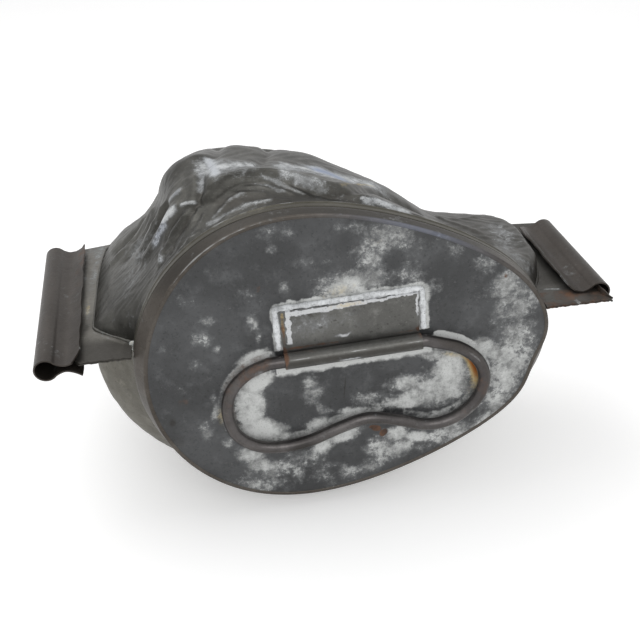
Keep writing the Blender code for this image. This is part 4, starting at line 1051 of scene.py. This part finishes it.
# A faint painted bluish reflection on the inside of the loop.
mark(bail, wear=painted_highlight, grime=patches(x, z, WIRE_GRIME), bloom=patches(x, z, WIRE_BLOOM),
     blue=0.10 * (outward < 0), rust=patches(x, z, WIRE_RUST))
close_up(bail)
wire_iron = old_tin("wire_iron", (0.059, 0.053, 0.050), (0.098, 0.090, 0.086), metallic=0.85,
                    roughness=0.34, gloss=0.08)
bail.data.materials.append(wire_iron)
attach(bail, "handle")
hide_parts("bail_handle")

# Flanges
# Four flat strips soldered to the shells' edges, one above and one below the parting line on
# each side. Their outer edges are turned up inside the clips, and the near edges are ragged.
FLANGE_SHEET = 0.0006
FLANGE_T = 0.00042
FLANGE_NEAR_W = -0.0011
FLANGE_LIP = 0.0030
FLANGE_OVERLAP = 0.0005
FLANGE_MOUTH_GAP = 0.0008
FLANGE_COLUMNS = 200
FLANGE_ROWS = 40
LIP_FROM_ROW = 0.8
FLANGE_FAR_W = {"left": (0.1143, 0.1090), "right": (0.0870, 0.0835)}
IN_CLIP_SETBACK = 0.009
CORNER_U = 0.2230
CORNER_LIP = 0.0007
CORNER_REACH = 0.006
IN_CLIP_FROM = (0.62, 0.74)
CLIP_LINE = {"left": ((-0.0372, -0.003), (-0.0409, 0.108)),
             "right": ((0.2195, 0.0070), (0.2160, 0.078))}
OUT = {"left": -1, "right": 1}
PROFILE_STEPS = 600
profile_depths = row_depth(np.linspace(0, 0.97, PROFILE_STEPS))
SIDE_PROFILE = {"left": body_points(True, np.ones(PROFILE_STEPS), profile_depths),
                "right": body_points(True, np.zeros(PROFILE_STEPS), profile_depths)}
MOUTH_EDGE = {"left": egg(LEFT_PARTING)[0] - FLANGE_MOUTH_GAP,
              "right": egg(RIGHT_PARTING)[0] + FLANGE_MOUTH_GAP}
LEFT_SCRAPE = ((-19, 25.5, 0), (-13, 19.5, 0), (-6, 14, 0), (-3, 11.5, 0))
LEFT_SOOT = ((-21, 27, 0), (-21, 31, 0))
RIGHT_PALE_LINE = ((195.5, 14.6, 0), (198, 14.2, 0), (202, 13.4, 0))
RIGHT_DRIP = ((206, 1.5, 0), (206.5, -0.5, 0))
RIGHT_STEP = ((196, 13.2, 0), (206, 12.4, 0), (222, 9.0, 0))


def wall_at(side, w):
    """u of the body's wall at the parting line and depth w."""
    profile = SIDE_PROFILE[side]
    return np.interp(w, profile[:, 1], profile[:, 0])


def inner_edge(side, w):
    """u of a flange's inner edge at depth w: it is set into the body, and clears the mouth."""
    u = wall_at(side, w) - OUT[side] * FLANGE_OVERLAP
    return np.minimum(u, MOUTH_EDGE[side]) if side == "left" else np.maximum(u, MOUTH_EDGE[side])


def flange_shape(side, upper):
    """Shape of a flange from its near edge (across 0) to its far edge, and out to its lip."""
    flip = 1 if upper else -1
    near, far = CLIP_LINE[side]
    lean = (far[0] - near[0]) / (far[1] - near[1])
    inner_far, outer_far = FLANGE_FAR_W[side]

    def shape(across, down):
        out_share = np.clip(down / LIP_FROM_ROW, 0, 1)
        up_share = np.clip((down - LIP_FROM_ROW) / (1 - LIP_FROM_ROW), 0, 1)
        ragged = 0.00025 * np.sin(out_share * 41 + 2) + 0.00018 * np.sin(out_share * 97 + flip)
        ragged = (ragged - 0.0003) * np.clip(1 - across * 12, 0, 1) * smooth(out_share, 0.02, 0.1)
        inner_w = FLANGE_NEAR_W + (inner_far - FLANGE_NEAR_W) * across
        outer_w = FLANGE_NEAR_W + (outer_far - FLANGE_NEAR_W) * across
        inner_u = inner_edge(side, inner_w)
        outer_u = near[0] + lean * (outer_w - near[1])
        if side == "right":
            corner = np.clip(1 - across * (outer_far - FLANGE_NEAR_W) / CORNER_REACH, 0, 1)
            outer_u = outer_u + (CORNER_U - outer_u) * corner
            lip = FLANGE_LIP + (CORNER_LIP - FLANGE_LIP) * smooth(corner, 0.0, 0.9)
        else:
            lip = FLANGE_LIP * smooth(across, 0.01, 0.07)
        lip = lip * (1 - 0.85 * smooth(across, 0.86, 0.90))
        u = inner_u + (outer_u - inner_u) * out_share
        w = inner_w + (outer_w - inner_w) * out_share - ragged
        if side == "left":
            w = w + IN_CLIP_SETBACK * smooth(out_share, *IN_CLIP_FROM) * (1 - across)
        return in_row(u, w, flip * (FLANGE_T + lip * up_share))

    return shape


flange_tin = old_tin("flange_tin", (0.092, 0.087, 0.076), (0.160, 0.152, 0.137), roughness=0.5)
# A darker copy of the flange tin for the right flanges, painted shade of the right clip over them.
shaded_flange_tin = old_tin("dark_flange_tin", (0.058, 0.055, 0.050), (0.098, 0.094, 0.086), roughness=0.5)
for side in ("left", "right"):
    for half in ("upper", "lower"):
        flange = grid_piece(f"{half}_{side}_flange_strip", FLANGE_COLUMNS, FLANGE_ROWS,
                            flange_shape(side, half == "upper"))
        u, w, t = own_places(flange)
        flat = np.stack([u, w, 0 * w], -1)
        if side == "left":
            crease = bell(np.abs(u - inner_edge(side, w)), 0.003, 0.003)
            bright_lines = nearness(flat, LEFT_SCRAPE, 0.0012)
            bright_lines = bright_lines * (0.70 + 0.30 * uneven(u + 1, 0.0021, 61))
            # Painted shade where the outer part of the left flange lies under the clip's lip.
            grime = strongest(0.5 * bell(w, 0.032, 0.010), 0.75 * (1 - smooth(u, -0.026, -0.022)),
                              0.80 * (1 - smooth(w, 0.010, 0.026)),
                              0.7 * nearness(flat, LEFT_SOOT, 0.0022))
            bloom = 0.38 * smooth(w, 0.05, 0.08) * np.maximum(crease, 0.6)
            yellow = bell(w, 0.046, 0.009) * bell(u, -0.0212, 0.0014)
            mark(flange, wear=np.maximum(0.15 * crease, 0.78 * bright_lines),
                 grime=grime * (1 - bright_lines), bloom=np.maximum(bloom, 0.48 * yellow), rust=0.08,
                 amber=0.40 * yellow)
        else:
            line = nearness(flat, RIGHT_PALE_LINE, 0.0005)
            drip = nearness(flat, RIGHT_DRIP, 0.0009)
            step = nearness(flat, RIGHT_STEP, 0.0005)
            near_edge = 1 - smooth(w, 0.0004, 0.0020)
            # Painted shade over the right flange where it runs under the clip, from about 14 mm
            # back.
            mark(flange, wear=np.maximum(0.8 * line, 0.45 * step),
                 grime=np.maximum(0.55 * smooth(w, 0.0135, 0.020), 0.6 * near_edge),
                 bloom=np.maximum((0.65 + 0.3 * uneven(u, 0.0012, 51)) * line, 0.8 * drip),
                 rust=0.50 * (1 - smooth(w, 0.0115, 0.0130)))
        close_up(flange, (0, 0, 1 if half == "upper" else -1))
        give_thickness(flange, FLANGE_SHEET, 0.0)
        flange.data.materials.append(flange_tin if side == "left" else shaded_flange_tin)
        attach(flange, "mould")
        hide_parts(f"{half}_{side}_flange")

# Solder seams
# The fillet in the crease between each flange and its shell, laid with an iron: it swells, thins
# and runs, and has dulled to the colour of the tin. A pale drop stands on it near the mouth. The
# left seams carry a painted highlight with a little bloom, the right ones painted shade.
SEAM_RADIUS = 0.0012
SEAM_IN_CREASE = -0.0001
SEAM_FROM_W = BAND_END_W + 0.002
SEAM_COLUMNS = 320
SEAM_SIDES = 12
SEAM_END_SHARE = 1 / 60
DROP_W = 0.0090
THINNING_W = (0.024, 0.030)
seam_tin = old_tin("seam_solder", (0.062, 0.060, 0.053), (0.112, 0.109, 0.100), metallic=0.6,
                   roughness=0.5)
for side in ("left", "right"):
    for half in ("upper", "lower"):
        flip = 1 if half == "upper" else -1
        height = flip * (FLANGE_T + FLANGE_SHEET / 2 + SEAM_IN_CREASE)
        far_w = FLANGE_FAR_W[side][0] - 0.003

        def seam_shape(across, down):
            w = SEAM_FROM_W + (far_w - SEAM_FROM_W) * across
            u = wall_at(side, w) + OUT[side] * SEAM_IN_CREASE
            swell = 0.85 + 0.20 * uneven(w, 0.006, 21) + 0.12 * uneven(w, 0.0017, 22)
            swell = (swell + 0.8 * bell(w, DROP_W, 0.0011)) * (1 - 0.5 * smooth(w, *THINNING_W))
            close = np.sqrt(np.clip(np.minimum(across, 1 - across) / SEAM_END_SHARE, 0, 1))
            turn = math.tau * down
            radius = SEAM_RADIUS * swell * close
            return in_row(u + np.cos(turn) * radius, w, height + np.sin(turn) * radius)

        seam = grid_piece(f"{half}_{side}_seam_bead", SEAM_COLUMNS, SEAM_SIDES, seam_shape)
        u, w, t = own_places(seam)
        drop = bell(w, DROP_W, 0.0014)
        pale = band_between(w, 0.013, 0.023, 0.003) * (0.8 + 0.3 * uneven(w, 0.002, 23))
        pale = pale * (side == "left")
        # A painted highlight with a little bloom on the left seams; painted shade on the right
        # ones.
        mark(seam, wear=0.2 * pale, grime=0.25 + 0.4 * (side == "right"),
             bloom=np.maximum(0.22 * pale, 1.1 * drop), amber=0.25 * drop)
        close_up(seam)
        seam.data.materials.append(seam_tin)
        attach(seam, "mould")
        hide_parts(f"{half}_{side}_solder_seam")

# Slide-on clips
# A sheet bent to an omega: a round bead outside and two lips that pinch the flanges and flare
# towards the body. The left clip's near lip corner is cut off straight and its far one turns up
# in a barb. The right clip's near corner is rounded and its far one is trimmed.
CLIP_SHEET = 0.0007
CLIP_RADIUS = 0.00505
CLIP_MOUTH = math.radians(38)
CLIP_WAIST_SHARE = 0.56
CLIP_WAIST_T = 0.00142
CLIP_LIP_T = 0.0046
CLIP_REACH = {"left": 0.0154, "right": 0.0146}
CLIP_CUT = {"left": (0.0038, 0.0072), "right": (0.0036, 0.0040)}
CLIP_BARB = {"left": 0.0012, "right": 0.0}
CLIP_BARB_WIDTH = 0.0012
CLIP_FAR_TRIM = {"left": 0.0, "right": 0.005}
CLIP_TRIM_WIDTH = 0.004
CLIP_COLUMNS = 300
CLIP_ROWS = 90


def half_section(reach):
    """Half of the clip's section from the back of the bead to the lip, as (out, t) points."""
    turn = math.pi - (math.pi - CLIP_MOUTH) * np.linspace(0, 1, 25)
    points = list(zip(CLIP_RADIUS * np.cos(turn), CLIP_RADIUS * np.sin(turn)))
    waist = reach * CLIP_WAIST_SHARE
    out, up = points[-1]
    for share in (0.25, 0.45, 0.65, 0.82, 1.0):
        ease = math.sin(share * math.pi / 2)
        points.append((out + (waist - out) * share, up + (CLIP_WAIST_T - up) * ease))
    for share in np.linspace(0, 1, 12)[1:]:
        points.append((waist + (reach - waist) * share,
                       CLIP_WAIST_T + (CLIP_LIP_T - CLIP_WAIST_T) * share ** 1.7))
    return points


clip_tin = old_tin("clip_brown_tin", (0.037, 0.030, 0.025), (0.063, 0.053, 0.046), metallic=0.65,
                   roughness=0.42)
for side in ("left", "right"):
    near, far = CLIP_LINE[side]
    reach = CLIP_REACH[side]
    cut_width, cut_length = CLIP_CUT[side]
    half_line = half_section(reach)
    section = np.array([(a, -b) for a, b in reversed(half_line[1:])] + half_line)
    steps = steps_along(section)
    steps /= steps[-1]
    lean = (far[0] - near[0]) / (far[1] - near[1])

    def clip_shape(across, down):
        x = np.interp(down, steps, section[:, 0])
        t = np.interp(down, steps, section[:, 1])
        lip = smooth(x, reach * 0.6, reach) * (np.abs(t) < CLIP_RADIUS)
        cut = np.clip((x - reach + cut_width) / cut_width, 0, 1) * (down > 0.5)
        if side == "right":
            cut = 1 - np.sqrt(1 - cut ** 2)
        barb = np.clip((x - reach + CLIP_BARB_WIDTH) / CLIP_BARB_WIDTH, 0, 1) * (down > 0.5)
        barb = barb * CLIP_BARB[side]
        near_w = near[1] + cut_length * cut
        trim = CLIP_FAR_TRIM[side] * np.clip((x - reach + CLIP_TRIM_WIDTH) / CLIP_TRIM_WIDTH, 0, 1)
        w = near_w + (far[1] + barb - trim - near_w) * across
        wave = lip * (0.00022 * np.sin(w * 190 + 1.4) + 0.00012 * np.sin(w * 520))
        u = near[0] + lean * (w - near[1]) - OUT[side] * (x + wave)
        lift = lip * 0.00012 * np.sin(w * 260 + 0.5) * np.sign(t)
        return in_row(u, w, t + lift + barb * smooth(across, 0.97, 1) * 0.35)

    clip = grid_piece(side + "_clip_bent", CLIP_COLUMNS, CLIP_ROWS, clip_shape)
    u, w, t = own_places(clip)
    from_axis = OUT[side] * (near[0] - u)
    worn_edge = bell(from_axis, reach, 0.0005)
    scratches = 0.12 * (1 + np.sin(w * 2100 + 3 * np.sin(w * 330))) * np.sin(w * 700 + t * 300) ** 2
    streaks = 0.25 * bell(t, 0.0040, 0.0009) * (from_axis < 0.003) * (0.6 + 0.4 * np.sin(w * 150))
    ruddy = 0.24 * smooth(from_axis, 0.005, 0.011) * smooth(w, 0.050, 0.090) * (side == "left")
    mark(clip, wear=0.65 * worn_edge + scratches + streaks, grime=0.46, bloom=0.03,
         rust=0.22 + ruddy)
    close_up(clip, (OUT[side], 0, 0))
    give_thickness(clip, CLIP_SHEET, 0.0)
    clip.data.materials.append(clip_tin)
    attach(clip, side + "_clip")
    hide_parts(side + "_slide_clip")

# Room, lights and camera
# A plain pale floor under soft studio light, seen as in the photograph: from the left of the
# lid's middle and well above it.
FLOOR_SIZE = 6.0
FLOOR_GLOW = 0.26
ROOM_LIGHT = 0.65
SEEN_ROOM_EXTRA = 0.35
CAMERA_AT = (-0.0461, -0.4312, 0.3377)
CAMERA_RIGHT = (0.9882, -0.1443, -0.0510)
CAMERA_UP = (0.1183, 0.5091, 0.8525)
CAMERA_AHEAD = (0.0971, 0.8485, -0.5202)
LENS = 56.25
bpy.ops.object.select_all(action="DESELECT")
bpy.ops.mesh.primitive_plane_add(size=FLOOR_SIZE)
floor = bpy.context.object
floor.name = "floor"
floor_paint = bpy.data.materials.new("pale_floor")
floor_paint.use_nodes = True
paint_shader = floor_paint.node_tree.nodes["Principled BSDF"]
paint_shader.inputs["Base Color"].default_value = (0.93, 0.93, 0.93, 1)
paint_shader.inputs["Roughness"].default_value = 0.9
paint_shader.inputs["Emission Color"].default_value = (1, 1, 1, 1)
floor.data.materials.append(floor_paint)


def seen_white(tree):
    """1 for rays from the camera and for those that metal or glass sends on, else 0."""
    rays = Wire(tree)
    seen = rays.node("LightPath", {}, {}, "Is Camera Ray")
    seen = seen.math("MAXIMUM", seen, rays.node("LightPath", {}, {}, "Is Glossy Ray"))
    return seen.math("MAXIMUM", seen, rays.node("LightPath", {}, {}, "Is Transmission Ray"))


floor_glow = seen_white(floor_paint.node_tree) * FLOOR_GLOW
floor_paint.node_tree.links.new(floor_glow.outlet, paint_shader.inputs["Emission Strength"])
room = bpy.data.worlds.new("studio")
bpy.context.scene.world = room
room.use_nodes = True
background = room.node_tree.nodes["Background"]
background.inputs["Color"].default_value = (1, 1, 1, 1)
room_strength = seen_white(room.node_tree) * SEEN_ROOM_EXTRA + ROOM_LIGHT
room.node_tree.links.new(room_strength.outlet, background.inputs["Strength"])

for name, at, aim, size, power in (
        ("top_light", (-0.35, 0.25, 0.95), (0, 0, 0.08), 0.7, 3.0),
        ("front_light", (0.1, -1.1, 0.75), (0, 0, 0.08), 0.8, 5.0)):
    bpy.ops.object.light_add(type="AREA", location=at)
    lamp = bpy.context.object
    lamp.name = name
    lamp.data.size = size
    lamp.data.energy = power
    to_aim = [b - a for a, b in zip(at, aim)]
    flat_reach = math.hypot(to_aim[0], to_aim[1])
    lamp.rotation_euler = (math.atan2(flat_reach, -to_aim[2]), 0, math.atan2(-to_aim[0], to_aim[1]))

bpy.ops.object.camera_add()
camera = bpy.context.object
turned = camera.matrix_world.copy()
for row in range(3):
    turned[row][0] = CAMERA_RIGHT[row]
    turned[row][1] = CAMERA_UP[row]
    turned[row][2] = -CAMERA_AHEAD[row]
    turned[row][3] = CAMERA_AT[row]
camera.matrix_world = turned
camera.data.lens = LENS
camera.data.clip_start = 0.01
bpy.context.scene.camera = camera
bpy.context.scene.view_settings.view_transform = "Standard"
